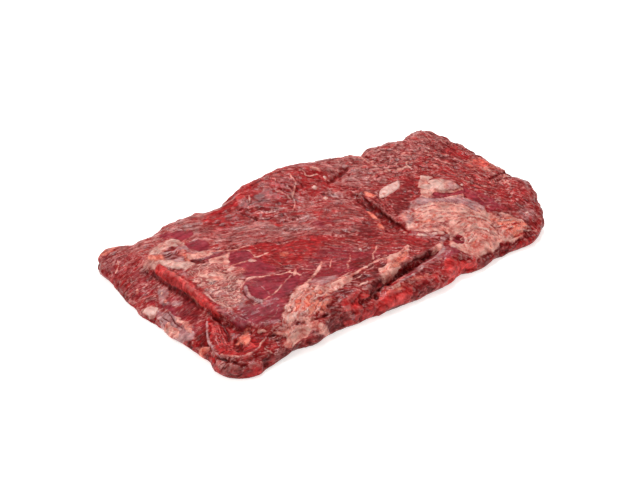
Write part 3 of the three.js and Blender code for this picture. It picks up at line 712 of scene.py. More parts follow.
# The crease, the fat pad right of it, and the right end.
RIGHT_END: tuple[Mark, ...] = (
    Strand("shade before the crease", SHADE, 0.8, points=((36.5, 24), (36.5, 12), (36.5, 0)), width=3,
        soft=3),
    Sheaf("fibres along the crease", FRESH, 0.8, 0.3, first=((43, 20), (41.5, 6), (41, -10), (40.5, -26)),
        last=((53, 14), (49, 3), (47, -8), (44, -20)), width=1.1),
    Sheaf("cracks along the crease", DEEP_SHADE, 0.75, -0.5, first=((44, 19), (42.5, 6), (42, -10), (41.5, -22)),
        last=((56, 12), (52, 2), (49, -8), (45, -18)), width=0.8),
    Strand("crease", DEEP_SHADE, 1.0, -1.0, points=((41.5, 26), (39.8, 20), (39, 12), (38.4, 4), (38.2, -6),
        (38.3, -15), (38.5, -23), (38.6, -31), (38.8, -38)), width=1.7, soft=1.3),
    Spot("pale fleck at its end", FAT, 0.9, 0.3, at=(37.4, -35.6), size=(4, 2.8), turn=-60),
    Patch("orange tip", ORANGE, 0.8, 0.4, edge=((42, 25), (46, 24), (50, 18), (45, 16.5)), soft=2.4),
    Patch("fat pad", FAT, 1.0, 0.9, wear=0.3, edge=((41, -31), (43, -23), (47, -18.5), (54, -17.5),
        (60, -13.5), (69, -11), (76, -7), (80.5, -1), (84, 4), (92, -3), (100, -6), (112, -9), (116, -15),
        (111, -20), (104.5, -30), (109, -35), (111, -43), (109, -49), (120, -53), (124, -59), (128, -70),
        (127, -79), (118, -81), (105, -81), (95, -83), (80, -86), (66, -86), (60, -78), (54, -71),
        (60, -62), (62, -55), (54, -49), (47, -42), (41, -37)), soft=2.4),
    Patch("grey side of the pad", FILM, 0.75, edge=((41, -29), (47, -18), (60, -12), (76, -7), (80, -14),
        (68, -19), (56, -24), (46, -36)), soft=5),
    Patch("grey film of the pad", FILM, 0.95, 0.3, edge=((76, -9), (84, -14), (95, -19), (104, -22),
        (109, -30), (111.5, -42), (106, -47), (100, -43), (97, -34), (91, -27), (80, -20), (72, -15)),
        soft=4),
    Sheaf("folds of the grey film", SHADE, 0.45, -0.5, first=((84, -17), (95, -23), (103, -30), (108, -38)),
        last=((80, -20), (90, -26), (98, -36), (102, -43)), count=3, width=0.8),
    Sheaf("red streaks of the pad", ORANGE, 0.6, -0.3, first=((50, -24), (60, -20), (72, -22), (84, -31)),
        last=((54, -36), (64, -38), (76, -42), (86, -46)), width=1.5),
    Sheaf("pale streaks of the pad", CREAM, 0.65, 0.4, first=((48, -22), (60, -17), (74, -19), (88, -30),
        (98, -40)), last=((48, -39), (60, -41), (76, -46), (86, -50), (92, -58)), count=6, width=1.5),
    Strand("pink streak", ORANGE, 0.85, 0.2, points=((50, -33.5), (56, -35.5), (61, -36), (68, -34)),
        width=2.4, soft=1.8),
    Spot("red spot in the streak", FRESH, 0.85, at=(52, -34.5), size=(6, 2.4), turn=-20),
    Patch("mauve of the pad", WINDOW, 0.55, edge=((49, -41), (62, -41), (74, -45), (70, -50), (58, -48)),
        soft=4),
    # The purple fold is painted shade in the fold under the rolled lobe, in the purple of meat under
    # silverskin.
    Patch("purple fold", WINDOW, 1.0, -0.7, edge=((82, -12), (90, -7), (98, -10), (106, -13), (115, -14),
        (112, -19), (102, -18.5), (92, -17), (84, -15)), soft=2.6),
    Strand("bottom of the purple fold", SHADE, 0.9, -0.9, points=((83, -13), (92, -15.5), (102, -17),
        (111, -18)), soft=2),
    Patch("rolled lobe", CREAM, 1.0, 1.2, wear=0.3, edge=((95, 5), (101, 8), (108, 5), (112, 0),
        (115.5, -6), (114, -11), (106, -11), (98, -8), (91, -4)), soft=2.4),
    Patch("grey of the lobe", FILM, 0.7, edge=((106, -2), (112, -1), (116, -7), (113, -12), (104, -10)),
        soft=4),
    Patch("finger of fat", CREAM, 1.0, 1.1, wear=0.3, edge=((84, 3), (88, 9), (93, 16), (98, 20), (104, 18),
        (106, 12), (101, 9), (95, 6), (91, -3)), soft=2.2),
    Patch("orange of the finger", ORANGE, 0.6, edge=((92, 12), (98, 17), (100, 12), (94, 3))),
    Spot("white dot", CREAM, 0.9, 0.5, at=(119, -8), size=(3.4, 2.8)),
    Patch("purple hole", WINDOW, 1.0, -1.0, edge=((59, -60), (66, -57), (73, -59), (75, -66), (68, -69),
        (60, -66)), soft=2.4),
    Spot("darkest of the hole", DEEP_SHADE, 0.9, -0.8, at=(69.5, -63), size=(9, 5), turn=-20),
    Spot("glint in the hole", CREAM, 0.8, 0.4, at=(71, -65), size=(2.4, 1.6)),
    Sheaf("red of the front fat", ORANGE, 0.7, -0.5, first=((76, -50), (88, -49), (98, -54), (103, -64),
        (101, -76)), last=((70, -78), (76, -72), (82, -70), (88, -74), (88, -80)), count=5, width=1.2),
    Sheaf("folds of the front fat", CREAM, 0.8, 0.7, first=((78, -47), (92, -48), (102, -55), (107, -66),
        (104, -78)), last=((66, -76), (74, -70), (84, -67), (92, -72), (90, -82)), count=6, width=1.6),
    Patch("brownish fold", SHADE, 0.45, -0.4, edge=((104, -60), (109, -66), (104, -75), (99, -68))),
    Patch("dark red left of the pad", FRESH, 0.65, -0.4, edge=((30, -46), (42, -42), (48, -44), (54, -54),
        (50, -61), (38, -62), (30, -56))),
    Patch("dark below it", DEEP_SHADE, 0.4, -0.6, edge=((36, -56), (50, -57), (52, -62), (40, -66), (34, -62)),
        soft=3.5),
    Strand("second lobe", CREAM, 0.85, 0.7, points=((43.5, -45), (47, -48.5), (53, -52), (59, -54)),
        width=3.4, soft=2),
    Strand("strand in front of it", FILM, 0.95, 0.6, points=((46, -70), (50, -64), (55, -60), (61, -58)),
        width=4, soft=2.4),
    Patch("orange corner of the fat", ORANGE, 1.0, 0.6, edge=((106, -56), (113, -56), (121, -62),
        (128, -69), (127, -78), (117, -80), (108, -74), (110, -66))),
    Sheaf("pale folds of the corner", CREAM, 0.9, 0.9, first=((107, -58), (114, -62), (122, -66),
        (127, -70)), last=((102, -80), (110, -77), (120, -77), (133, -82)), width=1.5),
    Sheaf("red cracks of the corner", CUT, 0.8, -0.8, first=((112, -66), (118, -69), (126, -73)),
        last=((108, -79), (116, -79), (126, -80)), count=3, width=1.0),
    Spot("white fold of the corner", CREAM, 1.0, 0.8, at=(126.5, -69.5), size=(7, 3.4), turn=-40),
    Patch("darkest behind the fat", SHADE, 0.8, edge=((114, -52), (122, -50), (124, -57), (116, -59))),
    Sheaf("dark bundles of the right end", SHADE, 0.5, -0.5, first=((50, 92), (104, 86), (150, 78),
        (162, 50), (168, 18), (170, -24)), last=((52, 42), (84, 38), (103, 34), (112, 18), (120, 2),
        (130, -24)), count=8, width=2.2, stray=3.5),
    Sheaf("bright bundles of the right end", CUT, 0.6, 0.2, first=((58, 90), (106, 84), (148, 75),
        (161, 46), (167, 14), (169, -28)), last=((55, 44), (86, 40), (104, 36), (113, 20), (122, 3),
        (133, -26)), count=7, width=2, stray=3.5),
    Sheaf("pale strands of the right end", FAT, 0.6, 0.3, first=((62, 88), (106, 82), (146, 72), (158, 46),
        (165, 12), (167, -30)), last=((58, 46), (86, 42), (105, 40), (114, 22), (124, 4), (136, -22)),
        count=7, width=1.3, stray=3.5),
    Patch("bright red of the far side", FRESH, 0.8, edge=((148, 52), (158, 50), (162, 36), (156, 24),
        (148, 36)), soft=5),
    Patch("bright lump at the side", CUT, 1.0, 0.6, edge=((158, 20), (164, 16), (164, 8), (154, 3),
        (150, 10)), soft=4),
    Strand("pale band by the notch", FAT, 0.75, 0.4, points=((79, 83), (77.5, 76), (77, 68), (78, 60),
        (78, 53)), width=2.6, soft=2),
    Strand("notch", DEEP_SHADE, 0.85, -1.6, points=((83, 88), (83, 80), (84, 71), (86, 62)), width=2.6, soft=2),
    Patch("bright red at the back", FRESH, 0.9, edge=((145, 80), (152, 80), (154, 73), (147, 72))),
    Patch("dark red of the end", SHADE, 0.7, edge=((141, 64), (151, 64), (153, 50), (143, 47)), soft=5),
    Strand("pale arch", FAT, 0.6, 0.3, points=((101.5, 36), (103, 44.5), (108, 47.5), (113, 45),
        (118.5, 38)), width=1.6),
    Patch("orange of the end", ORANGE, 0.4, edge=((148, 20), (164, 22), (168, 4), (160, -5), (149, 0)),
        soft=8),
    Patch("pale pink of the end", FAT, 0.55, edge=((151, 5), (158, 5), (158, -3), (152, -3))),
    Strand("split in the end", DEEP_SHADE, 0.9, -1.4, points=((147, -12), (156, -11), (164, -9.5), (172, -8)),
        width=2.8, soft=2),
    Strand("pale arc in the end", FAT, 0.65, 0.4, points=((152, -30), (154, -20), (161, -15), (169, -17)),
        width=1.8),
    # A painted lilac sheen on the face of the lump at the end.
    Patch("grey lilac sheen on the end", FILM, 0.6, edge=((161, -22), (170, -22), (171, -32), (163, -33)), soft=4),
    Patch("dark before the end", SHADE, 0.7, edge=((126, -53), (141, -52), (142, -60), (130, -61)), soft=4),
    Patch("mauve corner", FILM, 0.5, edge=((131, -61), (144, -60), (146, -72), (134, -74)), soft=5),
    Spot("bright spot in the corner", CREAM, 0.7, 0.3, at=(138, -66), size=(3.4, 2.6)),
)

# The gully, the roll and the walls along the front.
FRONT_WALL: tuple[Mark, ...] = (
    Strand("gully on the left", SHADE, 0.85, 1.2, points=((-42, -80), (-30, -77.5), (-18, -76)), width=5,
        soft=3),
    Strand("gully", DEEP_SHADE, 0.95, -0.8, points=((-12, -76), (-4, -75), (6, -73), (14, -70.5), (22, -68.5)),
        width=3.2, soft=2.4),
    Strand("gully to the right", DEEP_SHADE, 0.8, points=((22, -68.5), (34, -66), (44, -65)), width=1.6, soft=1.4),
    Spot("cavity in the wall", DEEP_SHADE, 0.9, -1.8, at=(-40.5, -81), size=(5, 3.6), turn=60),
    Spot("second cavity in the wall", DEEP_SHADE, 0.9, -1.8, at=(-27, -82), size=(5.5, 4), turn=60),
    Strand("silver streak on the roll", FILM, 0.9, 0.4, points=((-11, -81), (0, -80.5), (12, -79),
        (22, -76)), width=1.7),
    Strand("second silver streak", FILM, 0.7, 0.3, points=((22, -74), (34, -72), (46, -71)), width=1.8,
        soft=1.4),
    Strand("orange along the ledge", ORANGE, 0.5, 0.3, points=((-20, -84), (-6, -84), (8, -83.5),
        (20, -83)), width=4, soft=3),
)

# The cut face of the upper leaf at the left: places are along +Y and up.
CUT_FACE: tuple[Mark, ...] = (
    Patch("bright cut face", CUT, calm=0.9, face=Face.LEFT, level=(15, 22.5), wear=0.1, edge=((38, 16),
        (35, 22), (20, 23), (-3, 23), (-36, 23), (-36, 17), (-8, 16.5), (10, 16.5), (28, 16)), soft=2),
    Strand("foot of the cut face", SHADE, 0.95, face=Face.LEFT, level=(10, 18), calm=0.9,
        points=((38, 14.4), (30, 13.4), (18, 13.6), (6, 14), (-8, 14), (-30, 14.5)), width=3.4, soft=2),
)

# The front, from left to right: places are along +X and up.
FRONT_FACE: tuple[Mark, ...] = (
    Patch("corner", SHADE, 0.7, edge=((-160, 2), (-150, 2), (-149, 12), (-158, 12))),
    Patch("dusky red", FRESH, 0.6, edge=((-147, 4), (-134, 4), (-133, 12), (-146, 13)), soft=4),
    Patch("brown hollow", SHADE, 0.85, -0.8, edge=((-134, 3), (-121, 3), (-119, 10), (-133, 11)), soft=4),
    Patch("dark cut red", DEEP_SHADE, 0.65, edge=((-119, 0), (-100, 0), (-98, 7), (-110, 9), (-120, 8)), soft=4),
    Patch("fat hanging over the front", FAT, 0.95, 0.8, edge=((-112, 11), (-106, 15), (-98, 20), (-88, 21),
        (-90, 16), (-94, 10), (-102, 8.5)), wear=0.5, calm=0.7),
    Patch("maroon below the fat", DEEP_SHADE, 0.75, -0.6, edge=((-99, 3), (-84, 3), (-82, 9), (-92, 10))),
    Patch("grey smear", FILM, 0.6, edge=((-92, 12), (-82, 11), (-80, 17), (-90, 18))),
    Strand("pinkish fat down to the foot", FAT, 0.85, 0.6, points=((-87, 19), (-82, 14), (-77, 9),
        (-74, 3)), width=6, soft=4, wear=0.6, calm=0.6),
    Patch("dark red wall", SHADE, 0.8, edge=((-72, 3), (-60, 3), (-52, 12), (-54, 20), (-72, 19)), soft=4),
    Patch("maroon hollow", DEEP_SHADE, 0.8, -1.2, edge=((-68, 9), (-52, 11), (-51, 16), (-60, 16), (-68, 14))),
    Spot("red nub at the foot", CUT, 1.0, 1.2, at=(-55, 4), size=(7, 6), calm=0.8),
    Spot("lilac fleck over it", FILM, 0.8, 0.5, at=(-52, 9), size=(3.4, 6), calm=0.8),
    Patch("red under the lip", CUT, 0.7, edge=((-56, 16), (-34, 15), (-32, 20), (-56, 22)), soft=4),
    Patch("dark red lumps", FRESH, 0.8, edge=((-50, 3), (-28, 3), (-28, 9), (-36, 12), (-48, 10)), soft=4),
    Patch("bright red", CUT, 0.85, 0.5, edge=((-27, 5), (0, 5), (2, 13), (-16, 15), (-26, 13)), wear=0.5),
    Strand("dark foot", DEEP_SHADE, 0.9, -0.8, points=((-22, 4.5), (-14, 3), (-8, 2)), width=2.4, soft=2),
    Patch("maroon lump", SHADE, 0.85, edge=((0, 3), (22, 3), (23, 12), (12, 13), (1, 12))),
    Spot("dark cleft", DEEP_SHADE, 0.85, -1.2, at=(18, 7), size=(6, 9)),
    Patch("large bright lump", CUT, 0.85, 0.6, edge=((33, 3), (50, 3), (58, 8), (54, 14), (36, 14)), soft=4,
        wear=0.4, calm=0.5),
    Patch("pinkish red", CUT, 0.8, 0.4, edge=((59, 4), (67, 4), (68, 11), (60, 13))),
    Patch("dull red below the fat", SHADE, 0.6, edge=((68, 3), (80, 3), (80, 9), (69, 10))),
    Patch("dark red strip", SHADE, 0.6, edge=((80, 1), (112, 2), (112, 8.5), (80, 9))),
    Patch("red strip", FRESH, 0.8, edge=((112, 2), (136, 2), (136, 8), (112, 8.5))),
    Strand("line under the fat", SHADE, 0.85, -0.8, points=((66, 10), (80, 9.6), (98, 9.4), (116, 9.2),
        (132, 9)), width=1.4),
    Patch("dark under the lip", SHADE, 0.9, level=(14, 22), edge=((-31, 14.5), (-15, 15.5), (-13, 21.5),
        (-30, 21.5)), soft=2),
    Patch("fat on the lip", FAT, 0.9, 0.5, level=(15, 23), edge=((-14, 16), (-3, 16.5), (-2, 21.5),
        (-14, 22)), soft=2),
    Patch("maroon lip", SHADE, 0.95, level=(15, 23), edge=((5, 16.5), (38, 17), (38, 21.5), (5, 21)),
        soft=2),
    Patch("fat of the lip on the right", FAT, 0.8, 0.5, level=(15, 23), edge=((38, 17.5), (50, 18),
        (52, 22), (39, 22)), soft=2),
)
FRONT_FACE = tuple(replace(mark, face=Face.FRONT) for mark in FRONT_FACE)
MARKS: tuple[Mark, ...] = (BROAD_AREAS + LEFT_SLOPE + CUT_EDGE + LEFT_FAT + WINDOWS + FRONT_FRINGE + MIDDLE
                           + RIGHT_END + FRONT_WALL + CUT_FACE + FRONT_FACE)


# The meat.


@dataclass(frozen=True)
class Grain:
    """How the muscle fibres run: across the slab, bowing from the left end round to the right one.

    Attributes:
        slope: How steeply they run at the middle.
        bow: How much that changes, per millimetre along the slab.
        turn: How much faster it changes towards the right end.
        stray: How far they stray from it, in millimetres, and over what reach.
        swirl: How far they stray on the hump.
        hump: The middle of the hump and its reach.
    """

    slope: float = 0.6
    bow: float = 0.00185
    turn: float = 0.000013
    stray: Place = (4.2, 32.0)
    swirl: Place = (4.5, 14.0)
    hump: tuple[Place, float] = ((-2.0, 68.0), 30.0)

    def coordinates(self, points: np.ndarray) -> np.ndarray:
        """Coordinates that follow the fibres.

        Args:
            points: Places on the meat, in millimetres.

        Returns:
            For each place how far it is across the fibres, along them, and up, in millimetres.
        """
        x, y, z = points.T
        right = np.maximum(x, 0.0)
        lean = np.hypot(1.0, self.slope + 2 * self.bow * x + 3 * self.turn * right**2)
        across = (y + self.slope * x + self.bow * x * x + self.turn * right**3) / lean
        along = x * lean
        plan = points[:, :2]
        across += self.stray[0] * lumps(plan, (self.stray[1],) * 2, 11)
        across += 0.22 * self.stray[0] * lumps(plan, (0.3 * self.stray[1],) * 2, 13)
        away = np.hypot(x - self.hump[0][0], y - self.hump[0][1]) / self.hump[1]
        across += self.swirl[0] * np.exp(-away**2) * lumps(plan, (self.swirl[1],) * 2, 12)
        return np.column_stack([across, along, z])


@dataclass
class FlapMeat:
    """The whole piece of meat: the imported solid's form with its fibres, tears, folds and fat worked into it.

    Attributes:
        voxel: Edge of the squares that it is remade of, in millimetres.
        passes: How often the solid's facets are smoothed.
        bundles: How high the bundles of fibres stand, how wide and how long they are, in millimetres.
        threads: The same of the fibres in a bundle.
        nicks: How deep, wide and long the small tears between the fibres are, in millimetres.
        crags: How far the torn sides stand in and out, and how long and high a crag is.
        knobs: How high the knobs along the edges are, and how far apart.
        fat_curds: How high the lumps of the fat stand and their size.
        crest_passes: How far around a vertex counts when its height is judged.
        crest_height: How far a whole crest stands out, in millimetres.
        marks: What is drawn on it.
        grain: How its fibres run.
    """

    voxel: float = 1.0
    passes: int = 9
    bundles: tuple[float, float, float] = (0.42, 4.0, 16.0)
    threads: tuple[float, float, float] = (0.12, 1.8, 6.0)
    nicks: tuple[float, float, float] = (0.7, 2.2, 6.5)
    crags: tuple[float, float, float] = (1.2, 12.0, 7.0)
    knobs: Place = (1.1, 5.0)
    fat_curds: Place = (0.3, 8.0)
    crest_passes: int = 8
    crest_height: float = 0.45
    marks: tuple[Mark, ...] = MARKS
    grain: Grain = Grain()

    def surface(self, piece: bpy.types.Object) -> BVHTree:
        """Reads the finished meat's surface, for what lies on it.

        Args:
            piece: The meat.

        Returns:
            A tree of its faces.
        """
        work = bmesh.new()
        work.from_mesh(piece.data)
        tree = BVHTree.FromBMesh(work)
        work.free()
        return tree

    def build(self) -> bpy.types.Object:
        """Makes the meat.

        Returns:
            The finished piece, dressed and riding on its body.
        """
        piece = self.remade_solid()
        points, normals = self.points_and_normals(piece.data)
        shares = self.painted_shares(points, normals)
        points = points + normals * self.relief(points, normals, shares)[:, None]
        points[:, 2] = np.maximum(points[:, 2], 0.0)
        piece.data.vertices.foreach_set("co", (points * MM).ravel())
        self.store(piece.data, points, shares, self.crests(piece.data, points, normals))
        self.close_underside(piece.data)
        piece.data.shade_smooth()
        piece.data.materials.append(RawBeef().material())
        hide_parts(NODE)
        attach(piece, BODY)
        log.info("meat: %d faces", len(piece.data.polygons))
        return piece

    def remade_solid(self) -> bpy.types.Object:
        """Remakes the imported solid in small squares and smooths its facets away.

        Returns:
            The new piece, not yet dressed.
        """
        work = bmesh.new()
        work.from_mesh(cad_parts[NODE].data)
        bmesh.ops.remove_doubles(work, verts=work.verts, dist=0.01 * MM)
        mesh = bpy.data.meshes.new("flap_meat")
        work.to_mesh(mesh)
        piece = bpy.data.objects.new("flap_meat", mesh)
        bpy.context.scene.collection.objects.link(piece)
        remesh = piece.modifiers.new("remesh", "REMESH")
        remesh.mode = "VOXEL"
        remesh.voxel_size = self.voxel * MM
        bpy.context.view_layer.update()
        fine = bpy.data.meshes.new_from_object(piece.evaluated_get(bpy.context.evaluated_depsgraph_get()))
        piece.modifiers.clear()
        work.clear()
        work.from_mesh(fine)
        free = [v for v in work.verts if v.co.z > 0.6 * MM]
        for _ in range(self.passes):
            bmesh.ops.smooth_vert(work, verts=free, factor=0.5, use_axis_x=True, use_axis_y=True,
                                  use_axis_z=True)
        work.to_mesh(mesh)
        work.free()
        bpy.data.meshes.remove(fine)
        return piece

    def points_and_normals(self, mesh: bpy.types.Mesh) -> tuple[np.ndarray, np.ndarray]:
        """Reads where the vertices are and the way that they face.

        Args:
            mesh: The mesh.

        Returns:
            Its vertices in millimetres, and their normals.
        """
        points, normals = np.empty(3 * len(mesh.vertices)), np.empty(3 * len(mesh.vertices))
        mesh.vertices.foreach_get("co", points)
        mesh.vertices.foreach_get("normal", normals)
        return points.reshape(-1, 3) / MM, normals.reshape(-1, 3)

    def painted_shares(self, points: np.ndarray, normals: np.ndarray) -> dict[Tissue, np.ndarray]:
        """How much of each tissue shows at each vertex.

        Args:
            points: The vertices in millimetres.
            normals: The way that each one faces.

        Returns:
            For each tissue a share from 0 to 1 at each vertex. A vertex's shares come to 1.
        """
        shares = {tissue: np.zeros(len(points)) for tissue in Tissue}
        shares[Tissue.MUSCLE][:] = 1.0
        side = side_share(normals)
        low = 1.0 - soft_step(9.0, 18.0, points[:, 2])
        patchy = lumps(points, (12.0, 12.0, 7.0), 21)
        self.lay(shares, Tissue.FRESH, slice(None), (0.9 + 0.1 * patchy) * side * low)
        self.lay(shares, Tissue.SHADE, slice(None), 0.9 * side * low * soft_step(0.0, 0.5, -patchy))
        for mark in self.marks:
            near, cover = self.covered(mark, points, normals)
            self.lay(shares, mark.tissue, near, mark.strength * cover)
        # Painted shade along the foot of the walls, where they meet the table.
        foot = 1.0 - soft_step(0.6, 3.2, points[:, 2])
        self.lay(shares, Tissue.DEEP_SHADE, slice(None), 0.55 * foot * side)
        return shares

    def lay(self, shares: dict[Tissue, np.ndarray], tissue: Tissue, where: Union[slice, np.ndarray],
            cover: np.ndarray) -> None:
        """Lays a tissue over what is there.

        Args:
            shares: The shares so far, which it changes.
            tissue: What to lay.
            where: The vertices that it reaches.
            cover: How fully it covers each of them.
        """
        for below in shares.values():
            below[where] *= 1.0 - cover
        shares[tissue][where] += cover

    def covered(self, mark: Mark, points: np.ndarray, normals: np.ndarray) -> tuple[np.ndarray, np.ndarray]:
        """Finds what a mark covers.

        Args:
            mark: The mark.
            points: The vertices in millimetres.
            normals: The way that each one faces.

        Returns:
            The vertices that it reaches, and how fully it covers each.
        """
        low, high = mark.reach()
        first, second, away, sign, end = mark.face.value
        drawn = points[:, [first, second]]
        reached = (drawn > low).all(axis=1) & (drawn < high).all(axis=1)
        reached &= (points[:, 2] > mark.level[0]) & (points[:, 2] < mark.level[1])
        if mark.face is not Face.TOP:
            reached &= (sign * normals[:, away] > 0.1) & (points[:, away] < end)
        near = np.flatnonzero(reached)
        if not len(near):
            return near, np.zeros(0)
        spots = points[near]
        drift = [lumps(spots, (9.0,) * 3, seed) + 0.6 * lumps(spots, (3.6,) * 3, seed + 2)
                 for seed in (41, 42)]
        worn = 1.0 - mark.wear * np.clip(0.15 - 0.5 * lumps(spots, (5.0,) * 3, 45), 0.0, 1.0)
        if mark.face is not Face.TOP:
            worn = worn * soft_step(0.1, 0.35, sign * normals[near, away])
        return near, worn * mark.cover(drawn[near] + mark.stray * np.column_stack(drift))

    def relief(self, points: np.ndarray, normals: np.ndarray, shares: dict[Tissue, np.ndarray]) -> np.ndarray:
        """How far the surface stands out at each vertex.

        Args:
            points: The vertices in millimetres.
            normals: The way that each one faces.
            shares: How much of each tissue shows there.

        Returns:
            A height in millimetres for each vertex.
        """
        across_along = self.grain.coordinates(points)
        side = side_share(normals)
        smooth = shares[Tissue.WINDOW] + shares[Tissue.FILM]
        fatty = shares[Tissue.FAT] + shares[Tissue.CREAM] + shares[Tissue.ORANGE]
        calm = np.clip(smooth + 0.75 * fatty, 0.0, 1.0)
        for mark in self.marks:
            if mark.calm:
                near, cover = self.covered(mark, points, normals)
                calm[near] = np.maximum(calm[near], mark.calm * cover)
        meaty = 1.0 - 0.85 * calm
        coarse = 0.4 + 0.6 * soft_step(-0.5, 0.5, lumps(points, (26.0,) * 3, 30))
        height = np.zeros(len(points))
        for (rise, width, length), seed in ((self.bundles, 31), (self.threads, 32)):
            wave = lumps(across_along, (width, length, 2.2 * width), seed)
            height += rise * (1.0 - 2.0 * np.abs(wave)) * meaty * coarse * (1.0 - 0.6 * side)
        depth, width, length = self.nicks
        nick = soft_step(0.42, 0.8, lumps(across_along, (width, length, 3.0), 38))
        height -= depth * nick * meaty * (1.0 - side)
        height += (0.8 * lumps(points, (12.0, 12.0, 8.0), 33)
                   + 0.25 * lumps(points, (5.0, 5.0, 5.0), 34) * (1 - calm))
        height += self.torn_sides(points, side) * (1.0 - 0.7 * calm)
        rise, size = self.knobs
        edge = 1.0 - soft_step(0.8, 0.97, normals[:, 2])
        height += rise * lumps(points, (size,) * 3, 57) * edge * (1.0 - 0.6 * calm)
        rise, size = self.fat_curds
        height += rise * (1.0 - 2.0 * np.abs(lumps(points, (size,) * 3, 37))) * fatty
        for mark in self.marks:
            if mark.rise:
                near, cover = self.covered(mark, points, normals)
                height[near] += mark.rise * cover
        return height * soft_step(0.05, 1.0, points[:, 2]) * soft_step(-0.5, 0.1, normals[:, 2])

    def torn_sides(self, points: np.ndarray, side: np.ndarray) -> np.ndarray:
        """How far the torn sides stand out: lumps of meat with cracks between them.

        Args:
            points: The vertices in millimetres.
            side: How far each one belongs to a side.

        Returns:
            A height in millimetres for each vertex.
        """
        rise, long, high = self.crags
        height = np.zeros(len(points))
        torn = np.flatnonzero(side > 0.01)
        places = points[torn]
        warp = np.column_stack([lumps(places, (9.0,) * 3, seed) for seed in (51, 52, 53)])
        middle, crack = cobbles(places + 3.5 * warp, (long, long, high), 54)
        crag = 0.7 - 1.2 * middle**2 - 0.7 * (1.0 - soft_step(0.0, 0.2, crack))
        crag += 0.9 * lumps(places, (1.8 * long, 1.8 * long, 2.0 * high), 39)
        crag += 0.25 * lumps(places, (long / 3, long / 3, high / 3), 56)
        height[torn] = rise * crag * side[torn] * soft_step(0.0, 2.0, places[:, 2])
        return height

    def crests(self, mesh: bpy.types.Mesh, points: np.ndarray, normals: np.ndarray) -> np.ndarray:
        """How far each vertex stands out from those around it.

        Args:
            mesh: The mesh.
            points: Its vertices in millimetres.
            normals: The way that each one faces.

        Returns:
            From -1 in a furrow to 1 on a ridge.
        """
        edges = np.empty(2 * len(mesh.edges), dtype=np.int64)
        mesh.edges.foreach_get("vertices", edges)
        starts, ends = edges.reshape(-1, 2).T
        count = np.bincount(edges, minlength=len(points))
        mean = points.copy()
        for _ in range(self.crest_passes):
            near = [np.bincount(starts, mean[ends, axis], len(points))
                    + np.bincount(ends, mean[starts, axis], len(points)) for axis in range(3)]
            mean = 0.5 * mean + 0.5 * np.column_stack(near) / count[:, None]
        crest = np.clip(((points - mean) * normals).sum(axis=1) / self.crest_height, -1.0, 1.0)
        side = side_share(normals)
        return crest * (1.0 - np.where(crest > 0.0, 0.7, 0.3) * side)

    def store(self, mesh: bpy.types.Mesh, points: np.ndarray, shares: dict[Tissue, np.ndarray],
              crests: np.ndarray) -> None:
        """Stores what the finish reads as attributes of the mesh.

        Args:
            mesh: The mesh.
            points: Its vertices in millimetres.
            shares: How much of each tissue shows at each.
            crests: How far each stands out from those around it.
        """
        layer = mesh.attributes.new("crest", "FLOAT", "POINT")
        layer.data.foreach_set("value", crests)
        for tissue in PAINTED:
            layer = mesh.attributes.new(tissue.value, "FLOAT", "POINT")
            layer.data.foreach_set("value", shares[tissue])
        layer = mesh.attributes.new("grain", "FLOAT_VECTOR", "POINT")
        layer.data.foreach_set("vector", self.grain.coordinates(points).ravel())

    def close_underside(self, mesh: bpy.types.Mesh) -> None:
        """Replaces the small squares that lie on the table by one flat face.

        Args:
            mesh: The mesh, which it changes.
        """
        work = bmesh.new()
        work.from_mesh(mesh)
        flat = [f for f in work.faces if all(v.co.z < 0.3 * MM for v in f.verts)]
        bmesh.ops.delete(work, geom=flat, context="FACES")
        rim = [e for e in work.edges if e.is_boundary]
        for vertex in {v for edge in rim for v in edge.verts}:
            vertex.co.z = 0.0
        bmesh.ops.holes_fill(work, edges=rim, sides=0)
        bmesh.ops.recalc_face_normals(work, faces=work.faces)
        work.to_mesh(mesh)
        work.free()


